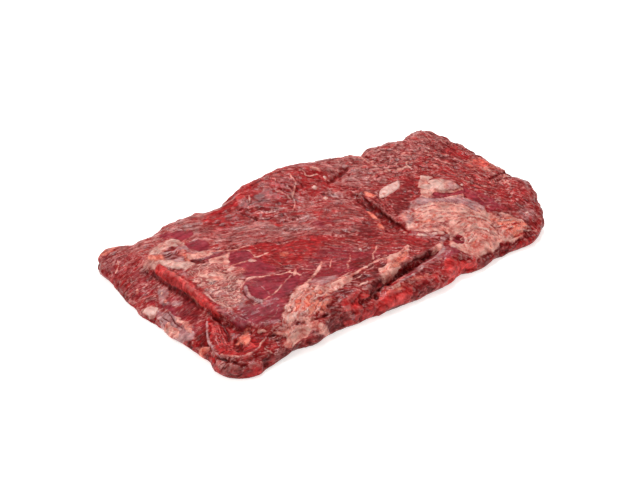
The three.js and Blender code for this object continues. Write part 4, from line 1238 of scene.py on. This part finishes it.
@dataclass(frozen=True)
class LooseFat:
    """A small piece of fat that lies on the meat.

    Attributes:
        name: What it is.
        outline: What its edge goes through.
        thick: Its thickness in millimetres.
        roll: How far in from the edge it reaches its full thickness.
        spacing: Edge of its squares.
        seed: Which lumps it has.
        sunk: How deep its edge is set into the meat.
        body: How far it reaches down into the meat.
    """

    name: str
    outline: tuple[Place, ...]
    thick: float = 1.8
    roll: float = 2.0
    spacing: float = 0.6
    seed: int = 60
    sunk: float = 0.35
    body: float = 1.4

    def build(self, ground: BVHTree, finish: bpy.types.Material) -> bpy.types.Object:
        """Makes the piece.

        Args:
            ground: The meat's surface.
            finish: Its material.

        Returns:
            The finished piece.
        """
        rim = smooth_path(self.outline, closed=True)
        low, high = rim.min(axis=0) - self.spacing, rim.max(axis=0) + self.spacing
        cells = np.ceil((high - low) / self.spacing).astype(int)
        middle, half = (low + high) / 2, (high - low) / 2
        work = bmesh.new()
        spread = Matrix.Translation((*middle, 0.0)) @ Matrix.Diagonal((*half, 1.0, 1.0))
        bmesh.ops.create_grid(work, x_segments=int(cells[0]), y_segments=int(cells[1]), size=1.0,
                              matrix=spread)
        within = inside_distance(np.array([v.co.xy for v in work.verts]), rim)
        outside = [v for v, depth in zip(work.verts, within) if depth < -0.2 * self.spacing]
        bmesh.ops.delete(work, geom=outside, context="VERTS")
        bmesh.ops.delete(work, geom=[v for v in work.verts if not v.link_faces], context="VERTS")
        for vertex in [v for v in work.verts if v.is_boundary]:
            away = rim - np.array(vertex.co.xy)
            vertex.co.xy = Vector(rim[np.argmin(np.hypot(*away.T))])
        bmesh.ops.remove_doubles(work, verts=work.verts, dist=0.15 * self.spacing)
        plan = np.array([v.co.xy for v in work.verts])
        within = np.maximum(inside_distance(plan, rim), 0.0)
        share = np.clip(within / self.roll, 0.0, 1.0)
        bulge = self.thick * np.sqrt(1.0 - (1.0 - share) ** 2)
        bulge *= (1.0 + 0.22 * lumps(plan, (7.0, 7.0), self.seed)
                  + 0.06 * lumps(plan, (2.0, 2.0), self.seed + 1))
        down = Vector((0.0, 0.0, -1.0))
        for vertex, rise in zip(work.verts, bulge):
            under = ground.ray_cast(Vector((*vertex.co.xy, ABOVE_ALL)) * MM, down)[0]
            vertex.co.z = (under.z / MM if under else 0.0) + rise - self.sunk
        under_side = bmesh.ops.extrude_face_region(work, geom=list(work.faces))["geom"]
        lower = [part for part in under_side if isinstance(part, bmesh.types.BMVert)]
        bmesh.ops.translate(work, vec=self.body * down, verts=lower)
        bmesh.ops.scale(work, vec=(MM, MM, MM), verts=work.verts)
        bmesh.ops.recalc_face_normals(work, faces=work.faces)
        mesh = bpy.data.meshes.new(self.name)
        work.to_mesh(mesh)
        work.free()
        mesh.shade_smooth()
        mesh.materials.append(finish)
        piece = bpy.data.objects.new(self.name, mesh)
        bpy.context.scene.collection.objects.link(piece)
        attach(piece, BODY)
        log.info("%s: %d faces", self.name, len(mesh.polygons))
        return piece


LOOSE_FAT: tuple[LooseFat, ...] = (
    LooseFat("fat_slab", ((49, 12), (52, 17), (56, 21), (61, 23.5), (67, 25), (74, 26), (79, 26),
        (78, 21.5), (74, 17), (70, 14.5), (65, 13.5), (60, 12.5), (54, 11)), 2.2, 5.5, seed=61),
    LooseFat("fat_nub_at_the_edge", ((-169, 13), (-166, 15), (-163, 12.5), (-161.5, 8), (-162, 3.5),
        (-165, 2), (-168.5, 5)), 1.6, 3.0, seed=62),
    LooseFat("fat_fleck_1", ((11.4, 51), (12.3, 53.6), (14.6, 53.8), (15.8, 52), (14, 50.4)),
        1.1, 2.0, 0.4, 63),
    LooseFat("fat_fleck_2", ((27, 58.5), (27.6, 61), (29.8, 61.3), (30.4, 59.4), (28.8, 58)),
        1.0, 2.0, 0.4, 64),
    LooseFat("fat_fleck_3", ((13, 37.5), (13.4, 39.6), (15.4, 39.6), (15.8, 37.9), (14.5, 36.9)),
        0.9, 2.0, 0.4, 65),
    LooseFat("fat_fleck_4", ((-7.6, -36), (-6.8, -33.6), (-5.2, -33.6), (-5, -35.8), (-6.2, -36.8)),
        0.9, 2.0, 0.4, 66),
    LooseFat("fat_fleck_5", ((117.4, -8.8), (118.2, -7), (120, -7.4), (120, -9.2), (118.5, -9.7)),
        1.0, 2.0, 0.4, 67),
)


# Finishes.


def linear(tone: str) -> tuple[float, float, float, float]:
    """An sRGB hex colour as linear light.

    Args:
        tone: The colour, such as "#aa5858".

    Returns:
        Red, green, blue and alpha.
    """
    parts = [int(tone[start:start + 2], 16) / 255 for start in (1, 3, 5)]
    red, green, blue = (p / 12.92 if p <= 0.04045 else ((p + 0.055) / 1.055) ** 2.4 for p in parts)
    return red, green, blue, 1.0


def add_node(tree: Tree, kind: str, inputs: Optional[dict[Union[str, int], NodeValue]] = None,
             **settings: object) -> bpy.types.Node:
    """Adds a node with its settings and links.

    Args:
        tree: The tree that it joins.
        kind: Its type, without the part that all shader nodes share.
        inputs: For each socket, by name or number, its value or the output that feeds it.
        settings: Its own settings.

    Returns:
        The node.
    """
    node = tree.nodes.new("ShaderNode" + kind)
    for name, value in settings.items():
        setattr(node, name, value)
    for socket, value in (inputs or {}).items():
        if isinstance(value, Socket):
            tree.links.new(value, node.inputs[socket])
        else:
            node.inputs[socket].default_value = value
    return node


def new_material(name: str) -> tuple[bpy.types.Material, Tree]:
    """Adds a material.

    Args:
        name: What it is.

    Returns:
        The material, and its empty tree.
    """
    material = bpy.data.materials.new(name)
    material.use_nodes = True
    material.node_tree.nodes.clear()
    return material, material.node_tree


class Weave(Enum):
    """The pattern of a tissue: streaks along the fibres, wavy strands, or strands with gaps between them."""

    STREAKS = "streaks"
    STRANDS = "strands"
    OPEN_NET = "open net"


@dataclass(frozen=True)
class TissueTone:
    """How one tissue looks.

    Attributes:
        tissue: Which one.
        tones: Its two tones, which lie in streaks or lumps.
        size: Size of the streaks across and along the fibres, in millimetres.
        ragged: How broken its edge is, from 0 to 1.
        cover: How much of what is under it is hidden where it is whole.
        fade: The painted shares at which it starts to show and is whole.
        weave: Its pattern.
    """

    tissue: Tissue
    tones: tuple[str, str]
    size: Place
    ragged: float = 0.35
    cover: float = 1.0
    fade: Place = (0.22, 0.74)
    weave: Weave = Weave.STREAKS


# Raw beef: wet dark red muscle in bundles of fibres, with pale threads of connective tissue between them.
# Silverskin is a clear bluish film, so the meat under it looks purple and smooth. Fat is waxy and pale.
@dataclass(frozen=True)
class RawBeef:
    """Fresh raw beef with its fat and silverskin, cut and left wet.

    Attributes:
        dark: The tone between bundles of fibres.
        red: The tone of the bundles.
        light: The tone of single fibres that catch the light.
        thread: The tone of threads of connective tissue, and of the painted highlight on ridges.
        furrow_shade: The tone of the painted shade in furrows.
        tissues: How the painted tissues look, from the lowest to the top one, painted sheen and shade among
            them.
        bundle: Width and length of a bundle of fibres, in millimetres.
        fibre: Width and length of a fibre, in millimetres.
        clouds: The size of each soft clouding, in millimetres, and how much darker and lighter it makes it.
        threads: For each kind of pale thread how far apart and how long it runs, in millimetres, how much
            of the noise's swing it takes up, and how strong it is.
    """

    dark: str = "#64080c"
    red: str = "#98171b"
    light: str = "#b44b45"
    thread: str = "#d0968f"
    furrow_shade: str = "#c04a44"
    bundle: Place = (3.2, 16.0)
    fibre: Place = (1.1, 6.0)
    clouds: tuple[Place, ...] = ((8.0, 0.22), (2.6, 0.16))
    threads: tuple[tuple[Place, float, float], ...] = (((4.6, 30.0), 0.045, 0.7), ((2.6, 13.0), 0.035, 0.45))
    tissues: tuple[TissueTone, ...] = (
        # The first tone is a fine grain with a painted sheen.
        TissueTone(Tissue.GRAIN_AND_SHEEN, ("#7c1e20", "#c48c86"), (1.8, 6.5), 0.8, 0.72, (0.1, 1.0)),
        TissueTone(Tissue.SHADE, ("#50070b", "#7c1519"), (1.8, 8.0), 0.6, 0.85, (0.05, 0.95)),
        TissueTone(Tissue.WINDOW, ("#781926", "#983440"), (2.6, 18.0), 0.3, 0.92, (0.15, 0.85)),
        TissueTone(Tissue.FRESH, ("#74070b", "#b42426"), (2.0, 6.0), 0.6, 0.92, (0.1, 0.9)),
        TissueTone(Tissue.CUT, ("#a01416", "#d84240"), (2.4, 7.0), 0.4, 0.95, (0.15, 0.8)),
        TissueTone(Tissue.FILM, ("#905558", "#c09896"), (2.6, 9.0), 0.5, 0.82, (0.15, 0.8)),
        TissueTone(Tissue.FAT, ("#b45046", "#dea698"), (6.0, 7.0), 0.5, 0.94, (0.2, 0.7), Weave.STRANDS),
        TissueTone(Tissue.CREAM, ("#b46a60", "#dab0a4"), (7.0, 9.0), 0.4, 0.92, (0.2, 0.75), Weave.STRANDS),
        TissueTone(Tissue.ORANGE, ("#c4402c", "#f29680"), (5.0, 6.0), 0.7, 0.85, (0.1, 0.9), Weave.STRANDS),
        TissueTone(Tissue.NET, ("#b8746c", "#deb0a2"), (7.0, 9.0), 0.3, 0.95, (0.1, 0.6), Weave.OPEN_NET),
        # Near-black red: painted shade in crevices.
        TissueTone(Tissue.DEEP_SHADE, ("#440304", "#720a0c"), (2.0, 8.0), 0.5, 0.9, (0.1, 0.9)),
    )

    def material(self) -> bpy.types.Material:
        """Makes the material.

        Returns:
            The material.
        """
        material, tree = new_material("raw_beef_muscle_fat_and_silverskin")
        grain = add_node(tree, "Attribute", attribute_name="grain").outputs["Vector"]
        place = add_node(tree, "TexCoord").outputs["Object"]
        bundle = self.streaks(tree, grain, self.bundle, detail=2.0)
        fibre = self.streaks(tree, grain, self.fibre, detail=3.0)
        fleck = add_node(tree, "TexNoise", {"Vector": place, "Scale": 1 / (2.2 * MM),
                                            "Detail": 3.0}).outputs["Fac"]
        broad = add_node(tree, "TexNoise", {"Vector": place, "Scale": 1 / (34 * MM),
                                            "Detail": 1.0}).outputs["Fac"]
        edge = add_node(tree, "TexNoise", {"Vector": place, "Scale": 1 / (3.4 * MM), "Detail": 4.0,
                                           "Roughness": 0.62}).outputs["Fac"]

        colour = self.muscle(tree, grain, bundle, fibre, fleck, broad)
        smooth_share = None
        for look in self.tissues:
            painted = add_node(tree, "Attribute", attribute_name=look.tissue.value).outputs["Fac"]
            if look.weave is Weave.STREAKS:
                swing = self.streaks(tree, grain, look.size, detail=3.0)
                swing = add_node(tree, "MapRange", {"Value": swing, "From Min": 0.36,
                                                    "From Max": 0.64}).outputs[0]
            else:
                swing = self.mottled(tree, place, look.size)
            share = self.share(tree, look, painted, edge)
            if look.weave is Weave.OPEN_NET:
                net = self.strands(tree, place, look.size[0], 0.05)
                net = add_node(tree, "MapRange", {"Value": net, "To Min": 0.15}).outputs[0]
                share = add_node(tree, "Math", {0: share, 1: net}, operation="MULTIPLY").outputs[0]
            tone = add_node(tree, "Mix", {0: swing, 6: linear(look.tones[0]), 7: linear(look.tones[1])},
                            data_type="RGBA").outputs[2]
            # Before the film, the fats and the deep shade are laid: strong painted shade in the furrows and a
            # painted highlight on the ridges.
            if look.tissue is Tissue.FILM:
                colour = self.shaded(tree, colour, fleck, 0.8)
            colour = add_node(tree, "Mix", {0: share, 6: colour, 7: tone}, data_type="RGBA").outputs[2]
            if look.tissue is Tissue.WINDOW:
                smooth_share = share

        # A weaker painted shade in the furrows and highlight on the ridges over all the tissues.
        colour = self.shaded(tree, colour, fleck, 0.3)
        for size, depth in self.clouds:
            cloud = add_node(tree, "TexNoise", {"Vector": place, "Scale": 1 / (size * MM),
                                                "Detail": 1.5}).outputs["Fac"]
            tint = add_node(tree, "MapRange", {"Value": cloud, "From Min": 0.32, "From Max": 0.68,
                                               "To Min": 1 - depth, "To Max": 1 + depth}).outputs[0]
            colour = add_node(tree, "VectorMath", {0: colour, 3: tint}, operation="SCALE").outputs[0]
        bump = self.bump(tree, bundle, fibre, fleck, edge, smooth_share)
        rough = add_node(tree, "MapRange", {"Value": fleck, "From Min": 0.3, "From Max": 0.7, "To Min": 0.3,
                                            "To Max": 0.52}).outputs[0]
        shader = add_node(tree, "BsdfPrincipled", {
            "Base Color": colour, "Roughness": rough, "Normal": bump, "IOR": 1.4, "Specular IOR Level": 0.1,
            "Subsurface Weight": 0.15, "Subsurface Radius": (1.0, 0.22, 0.16), "Subsurface Scale": 1.2 * MM,
            "Coat Weight": 0.22, "Coat Roughness": 0.08, "Coat IOR": JUICE_IOR,
        })
        add_node(tree, "OutputMaterial", {"Surface": shader.outputs["BSDF"]})
        return material

    def share(self, tree: Tree, look: TissueTone, painted: Socket,
              edge: Socket) -> Socket:
        """How fully a tissue shows.

        Args:
            tree: The material's tree.
            look: The tissue.
            painted: Its painted share.
            edge: Noise of torn edges.

        Returns:
            A share from 0 to 1.
        """
        ragged = add_node(tree, "Math", {0: edge, 1: 0.5}, operation="SUBTRACT").outputs[0]
        shifted = add_node(tree, "Math", {0: ragged, 1: 2.2 * look.ragged, 2: painted},
                           operation="MULTIPLY_ADD").outputs[0]
        starts, whole = look.fade
        share = add_node(tree, "MapRange", {"Value": shifted, "From Min": starts, "From Max": whole,
                                            "To Max": look.cover}, interpolation_type="SMOOTHSTEP").outputs[0]
        inside = add_node(tree, "MapRange", {"Value": painted, "From Min": 0.0, "From Max": 0.12}).outputs[0]
        return add_node(tree, "Math", {0: share, 1: inside}, operation="MULTIPLY").outputs[0]

    def mottled(self, tree: Tree, place: Socket, size: Place) -> Socket:
        """Soft lumps of tone with a few pale strands and red veins.

        Args:
            tree: The material's tree.
            place: Places in metres.
            size: How wide a lump is, and how far apart the strands lie, in millimetres.

        Returns:
            A share from 0 in a vein to 1 on a strand.
        """
        lump = add_node(tree, "TexNoise", {"Vector": place, "Scale": 1 / (size[0] * MM),
                                           "Detail": 3.0}).outputs["Fac"]
        tone = add_node(tree, "MapRange", {"Value": lump, "From Min": 0.36, "From Max": 0.64, "To Min": 0.2,
                                           "To Max": 0.95}).outputs[0]
        pale = self.strands(tree, place, size[1], 0.045)
        aside = add_node(tree, "VectorMath", {0: place, 1: (0.31, 0.17, 0.07)}).outputs[0]
        vein = self.strands(tree, aside, 1.4 * size[1], 0.04)
        tone = add_node(tree, "Math", {0: pale, 1: 0.25, 2: tone}, operation="MULTIPLY_ADD").outputs[0]
        return add_node(tree, "Math", {0: vein, 1: -0.45, 2: tone}, operation="MULTIPLY_ADD",
                        use_clamp=True).outputs[0]

    def strands(self, tree: Tree, place: Socket, apart: float,
                width: float) -> Socket:
        """Wavy strands that meet and part.

        Args:
            tree: The material's tree.
            place: Places in metres.
            apart: How far apart they lie, in millimetres.
            width: How much of the noise's swing a strand takes up.

        Returns:
            1 on a strand, 0 between them.
        """
        wave = add_node(tree, "TexNoise", {"Vector": place, "Scale": 1 / (apart * MM), "Detail": 1.5,
                                           "Roughness": 0.5, "Distortion": 1.0}).outputs["Fac"]
        off = add_node(tree, "Math", {0: wave, 1: 0.5}, operation="SUBTRACT").outputs[0]
        off = add_node(tree, "Math", {0: off}, operation="ABSOLUTE").outputs[0]
        return add_node(tree, "MapRange", {"Value": off, "From Min": width, "From Max": 0.0},
                        interpolation_type="SMOOTHSTEP").outputs[0]

    def shaded(self, tree: Tree, colour: Socket,
               fleck: Socket, depth: float) -> Socket:
        """Darkens the furrows with painted shade and lightens the ridges with a painted highlight.

        Args:
            tree: The material's tree.
            colour: The tissues' colour.
            fleck: Noise of small flecks.
            depth: How strong it is.

        Returns:
            The colour.
        """
        crest = add_node(tree, "Attribute", attribute_name="crest").outputs["Fac"]
        crest = add_node(tree, "Math", {0: fleck, 1: 1.4, 2: crest}, operation="MULTIPLY_ADD").outputs[0]
        furrow = add_node(tree, "MapRange", {"Value": crest, "From Min": 0.62, "From Max": -0.3,
                                             "To Max": depth}).outputs[0]
        colour = add_node(tree, "Mix", {0: furrow, 6: colour, 7: linear(self.furrow_shade)}, data_type="RGBA",
                          blend_type="MULTIPLY").outputs[2]
        ridge = add_node(tree, "MapRange", {"Value": crest, "From Min": 0.85, "From Max": 1.7,
                                            "To Max": 0.3 * depth}).outputs[0]
        return add_node(tree, "Mix", {0: ridge, 6: colour, 7: linear(self.thread)},
                        data_type="RGBA").outputs[2]

    def streaks(self, tree: Tree, grain: Socket, size: Place,
                detail: float) -> Socket:
        """Noise drawn out along the fibres.

        Args:
            tree: The material's tree.
            grain: The fibres' coordinates, in millimetres.
            size: Width and length of a streak, in millimetres.
            detail: How many finer layers it has.

        Returns:
            A value around 0.5.
        """
        scale = (1 / size[0], 1 / size[1], 1 / (1.8 * size[0]))
        drawn = add_node(tree, "Mapping", {"Vector": grain, "Scale": scale}).outputs[0]
        return add_node(tree, "TexNoise", {"Vector": drawn, "Scale": 1.0, "Detail": detail, "Roughness": 0.55,
                                           "Distortion": 0.25}).outputs["Fac"]

    def muscle(self, tree: Tree, grain: Socket, bundle: Socket,
               fibre: Socket, fleck: Socket,
               broad: Socket) -> Socket:
        """Colour of the bare muscle.

        Args:
            tree: The material's tree.
            grain: The fibres' coordinates.
            bundle: Noise of the bundles.
            fibre: Noise of the fibres.
            fleck: Noise of small flecks.
            broad: Noise of large areas.

        Returns:
            The colour.
        """
        mixed = add_node(tree, "Math", {0: broad, 1: 0.5, 2: bundle}, operation="MULTIPLY_ADD").outputs[0]
        depth = add_node(tree, "MapRange", {"Value": mixed, "From Min": 0.56, "From Max": 0.92},
                         interpolation_type="SMOOTHSTEP").outputs[0]
        colour = add_node(tree, "Mix", {0: depth, 6: linear(self.dark), 7: linear(self.red)},
                          data_type="RGBA").outputs[2]
        shine = add_node(tree, "MapRange", {"Value": fibre, "From Min": 0.46, "From Max": 0.7,
                                            "To Max": 0.75}).outputs[0]
        colour = add_node(tree, "Mix", {0: shine, 6: colour, 7: linear(self.light)},
                          data_type="RGBA").outputs[2]
        for size, width, strength in self.threads:
            wander = self.streaks(tree, grain, size, detail=3.0)
            off = add_node(tree, "Math", {0: wander, 1: 0.5}, operation="SUBTRACT").outputs[0]
            off = add_node(tree, "Math", {0: off}, operation="ABSOLUTE").outputs[0]
            line = add_node(tree, "MapRange", {"Value": off, "From Min": width, "From Max": 0.0},
                            interpolation_type="SMOOTHSTEP").outputs[0]
            broken = add_node(tree, "MapRange", {"Value": fleck, "From Min": 0.36, "From Max": 0.6,
                                                 "To Max": strength}).outputs[0]
            line = add_node(tree, "Math", {0: line, 1: broken}, operation="MULTIPLY").outputs[0]
            colour = add_node(tree, "Mix", {0: line, 6: colour, 7: linear(self.thread)},
                              data_type="RGBA").outputs[2]
        speck = add_node(tree, "MapRange", {"Value": fleck, "From Min": 0.4, "From Max": 0.28,
                                            "To Max": 0.8}).outputs[0]
        return add_node(tree, "Mix", {0: speck, 6: colour, 7: linear(self.dark)}, data_type="RGBA").outputs[2]

    def bump(self, tree: Tree, bundle: Socket, fibre: Socket,
             fleck: Socket, edge: Socket,
             calm: Socket) -> Socket:
        """Relief too fine for the mesh.

        Args:
            tree: The material's tree.
            bundle: Noise of the bundles.
            fibre: Noise of the fibres.
            fleck: Noise of small flecks.
            edge: Noise of torn edges.
            calm: Where clear silverskin keeps the surface smooth.

        Returns:
            The normal.
        """
        height = add_node(tree, "Math", {0: fibre, 1: 0.6, 2: bundle}, operation="MULTIPLY_ADD").outputs[0]
        height = add_node(tree, "Math", {0: fleck, 1: 0.35, 2: height}, operation="MULTIPLY_ADD").outputs[0]
        height = add_node(tree, "Math", {0: edge, 1: 0.5, 2: height}, operation="MULTIPLY_ADD").outputs[0]
        strength = add_node(tree, "MapRange", {"Value": calm, "To Min": 0.6, "To Max": 0.25}).outputs[0]
        return add_node(tree, "Bump", {"Height": height, "Strength": strength,
                                       "Distance": 1.0 * MM}).outputs["Normal"]


# Beef fat: waxy and pale, a little see-through at thin edges, with a faint pink net of tissue, and moist.
@dataclass(frozen=True)
class BeefFat:
    """Fresh hard fat, cut and left moist.

    Attributes:
        pale: The tone of its lumps.
        pink: The tone between them.
        stain: The tone where red juice from the meat has got in.
        lump: How wide a lump is, in millimetres.
    """

    pale: str = "#e0b4aa"
    pink: str = "#d09a92"
    stain: str = "#bc625a"
    lump: float = 4.0

    def material(self) -> bpy.types.Material:
        """Makes the material.

        Returns:
            The material.
        """
        material, tree = new_material("beef_fat")
        place = add_node(tree, "TexCoord").outputs["Object"]
        lump = add_node(tree, "TexNoise", {"Vector": place, "Scale": 1 / (self.lump * MM),
                                           "Detail": 3.0}).outputs["Fac"]
        vein = add_node(tree, "TexNoise", {"Vector": place, "Scale": 1 / (4.0 * MM), "Detail": 4.0,
                                           "Distortion": 0.6}).outputs["Fac"]
        swing = add_node(tree, "MapRange", {"Value": lump, "From Min": 0.38, "From Max": 0.6}).outputs[0]
        colour = add_node(tree, "Mix", {0: swing, 6: linear(self.pink), 7: linear(self.pale)},
                          data_type="RGBA").outputs[2]
        stained = add_node(tree, "MapRange", {"Value": vein, "From Min": 0.44, "From Max": 0.34,
                                              "To Max": 0.6}).outputs[0]
        colour = add_node(tree, "Mix", {0: stained, 6: colour, 7: linear(self.stain)},
                          data_type="RGBA").outputs[2]
        rough = add_node(tree, "MapRange", {"Value": vein, "From Min": 0.3, "From Max": 0.7, "To Min": 0.3,
                                            "To Max": 0.5}).outputs[0]
        bump = add_node(tree, "Bump", {"Height": lump, "Strength": 0.6,
                                       "Distance": 0.6 * MM}).outputs["Normal"]
        shader = add_node(tree, "BsdfPrincipled", {
            "Base Color": colour, "Roughness": rough, "Normal": bump, "IOR": 1.45, "Specular IOR Level": 0.35,
            "Subsurface Weight": 0.3, "Subsurface Radius": (1.0, 0.5, 0.4), "Subsurface Scale": 1.6 * MM,
            "Coat Weight": 0.4, "Coat Roughness": 0.15, "Coat IOR": JUICE_IOR,
        })
        add_node(tree, "OutputMaterial", {"Surface": shader.outputs["BSDF"]})
        return material


# White acrylic of a light table: even, hardly shiny, and lit from below.
@dataclass(frozen=True)
class LitAcrylic:
    """The table's finish.

    Attributes:
        tone: Its colour.
        roughness: How blurred its shine is.
        glow: How bright the light from below is.
    """

    tone: str = "#f4f4f2"
    roughness: float = 0.6
    glow: float = 0.68

    def material(self) -> bpy.types.Material:
        """Makes the material.

        Returns:
            The material.
        """
        material, tree = new_material("lit_white_acrylic")
        place = add_node(tree, "TexCoord").outputs["Object"]
        cloud = add_node(tree, "TexNoise", {"Vector": place, "Scale": 1 / 0.4, "Detail": 2.0}).outputs["Fac"]
        rough = add_node(tree, "MapRange", {"Value": cloud, "To Min": self.roughness - 0.05,
                                            "To Max": self.roughness + 0.05}).outputs[0]
        shader = add_node(tree, "BsdfPrincipled", {"Base Color": linear(self.tone), "Roughness": rough,
                                                   "Specular IOR Level": 0.2,
                                                   "Emission Color": linear(self.tone),
                                                   "Emission Strength": self.glow})
        add_node(tree, "OutputMaterial", {"Surface": shader.outputs["BSDF"]})
        return material


# The studio.


@dataclass(frozen=True)
class Softbox:
    """A large soft lamp that faces the meat.

    Attributes:
        name: Where it stands.
        place: Its middle, in metres.
        size: Its width and height, in metres.
        watts: Its power.
        warmth: Its colour.
    """

    name: str
    place: tuple[float, float, float]
    size: Place
    watts: float
    warmth: str = "#ffffff"

    def hang(self) -> None:
        """Adds the lamp to the scene."""
        lamp = bpy.data.lights.new(self.name, "AREA")
        lamp.shape = "RECTANGLE"
        lamp.size, lamp.size_y = self.size
        lamp.energy = self.watts
        lamp.color = linear(self.warmth)[:3]
        holder = bpy.data.objects.new(self.name, lamp)
        holder.location = self.place
        holder.rotation_euler = Vector(self.place).to_track_quat("Z", "Y").to_euler()
        bpy.context.scene.collection.objects.link(holder)


@dataclass
class Studio:
    """The table, the light and the camera.

    Attributes:
        aim: The place that the camera looks at, in millimetres.
        azimuth: Where the camera stands, in degrees round from -Y.
        elevation: How far it looks down, in degrees.
        distance: How far it stands from the aim, in millimetres.
        focal: Its focal length, in millimetres.
        sensor: How wide its sensor is, in millimetres.
        table_half: Half the table's side, in metres.
        surroundings: Strength of the white light from all round.
        sheen: Strength at which wet surfaces mirror it.
        lamps: The soft lamps.
    """

    aim: tuple[float, float, float] = (-4.8, 19.56, 0.0)
    azimuth: float = -35.7
    elevation: float = 34.0
    distance: float = 1040.0
    focal: float = 73.1
    sensor: float = 36.0
    table_half: float = 4.0
    surroundings: float = 0.38
    sheen: float = 0.06
    lamps: tuple[Softbox, ...] = (
        Softbox("softbox over the back", (0.26, 0.45, 1.3), (0.7, 0.5), 16.8),
        Softbox("softbox at the left", (-0.9, 0.0, 1.0), (0.6, 0.5), 4.5),
    )

    def build(self) -> None:
        """Lays the table, hangs the lamps and places the camera."""
        self.lay_table()
        world = bpy.data.worlds.new("white studio")
        world.use_nodes = True
        background = world.node_tree.nodes["Background"]
        background.inputs["Color"].default_value = (1.0, 1.0, 1.0, 1.0)
        shine = add_node(world.node_tree, "LightPath").outputs["Is Glossy Ray"]
        strength = add_node(world.node_tree, "MapRange", {"Value": shine, "To Min": self.surroundings,
                                                          "To Max": self.sheen}).outputs[0]
        world.node_tree.links.new(strength, background.inputs["Strength"])
        bpy.context.scene.world = world
        for lamp in self.lamps:
            lamp.hang()
        self.place_camera()
        bpy.context.scene.view_settings.view_transform = "Standard"
        log.info("studio: %d lamps", len(self.lamps))

    def lay_table(self) -> None:
        """Lays the table under the meat."""
        work = bmesh.new()
        bmesh.ops.create_grid(work, x_segments=1, y_segments=1, size=self.table_half)
        mesh = bpy.data.meshes.new("table")
        work.to_mesh(mesh)
        work.free()
        table = bpy.data.objects.new("table", mesh)
        mesh.materials.append(LitAcrylic().material())
        bpy.context.scene.collection.objects.link(table)

    def place_camera(self) -> None:
        """Places the camera where the photograph was taken from."""
        turn, tilt = math.radians(self.azimuth), math.radians(self.elevation)
        back = Vector((math.sin(turn) * math.cos(tilt), -math.cos(turn) * math.cos(tilt), math.sin(tilt)))
        view = bpy.data.cameras.new("camera")
        view.sensor_width = self.sensor
        view.lens = self.focal
        camera = bpy.data.objects.new("camera", view)
        camera.location = (Vector(self.aim) + back * self.distance) * MM
        camera.rotation_euler = back.to_track_quat("Z", "Y").to_euler()
        bpy.context.scene.collection.objects.link(camera)
        bpy.context.scene.camera = camera


def main() -> None:
    """Builds the piece and the studio."""
    logging.basicConfig(level=logging.INFO, format="%(name)s: %(message)s")
    Studio().build()
    meat = FlapMeat()
    ground = meat.surface(meat.build())
    fat = BeefFat().material()
    for piece in LOOSE_FAT:
        piece.build(ground, fat)


if __name__ == "__main__":
    main()
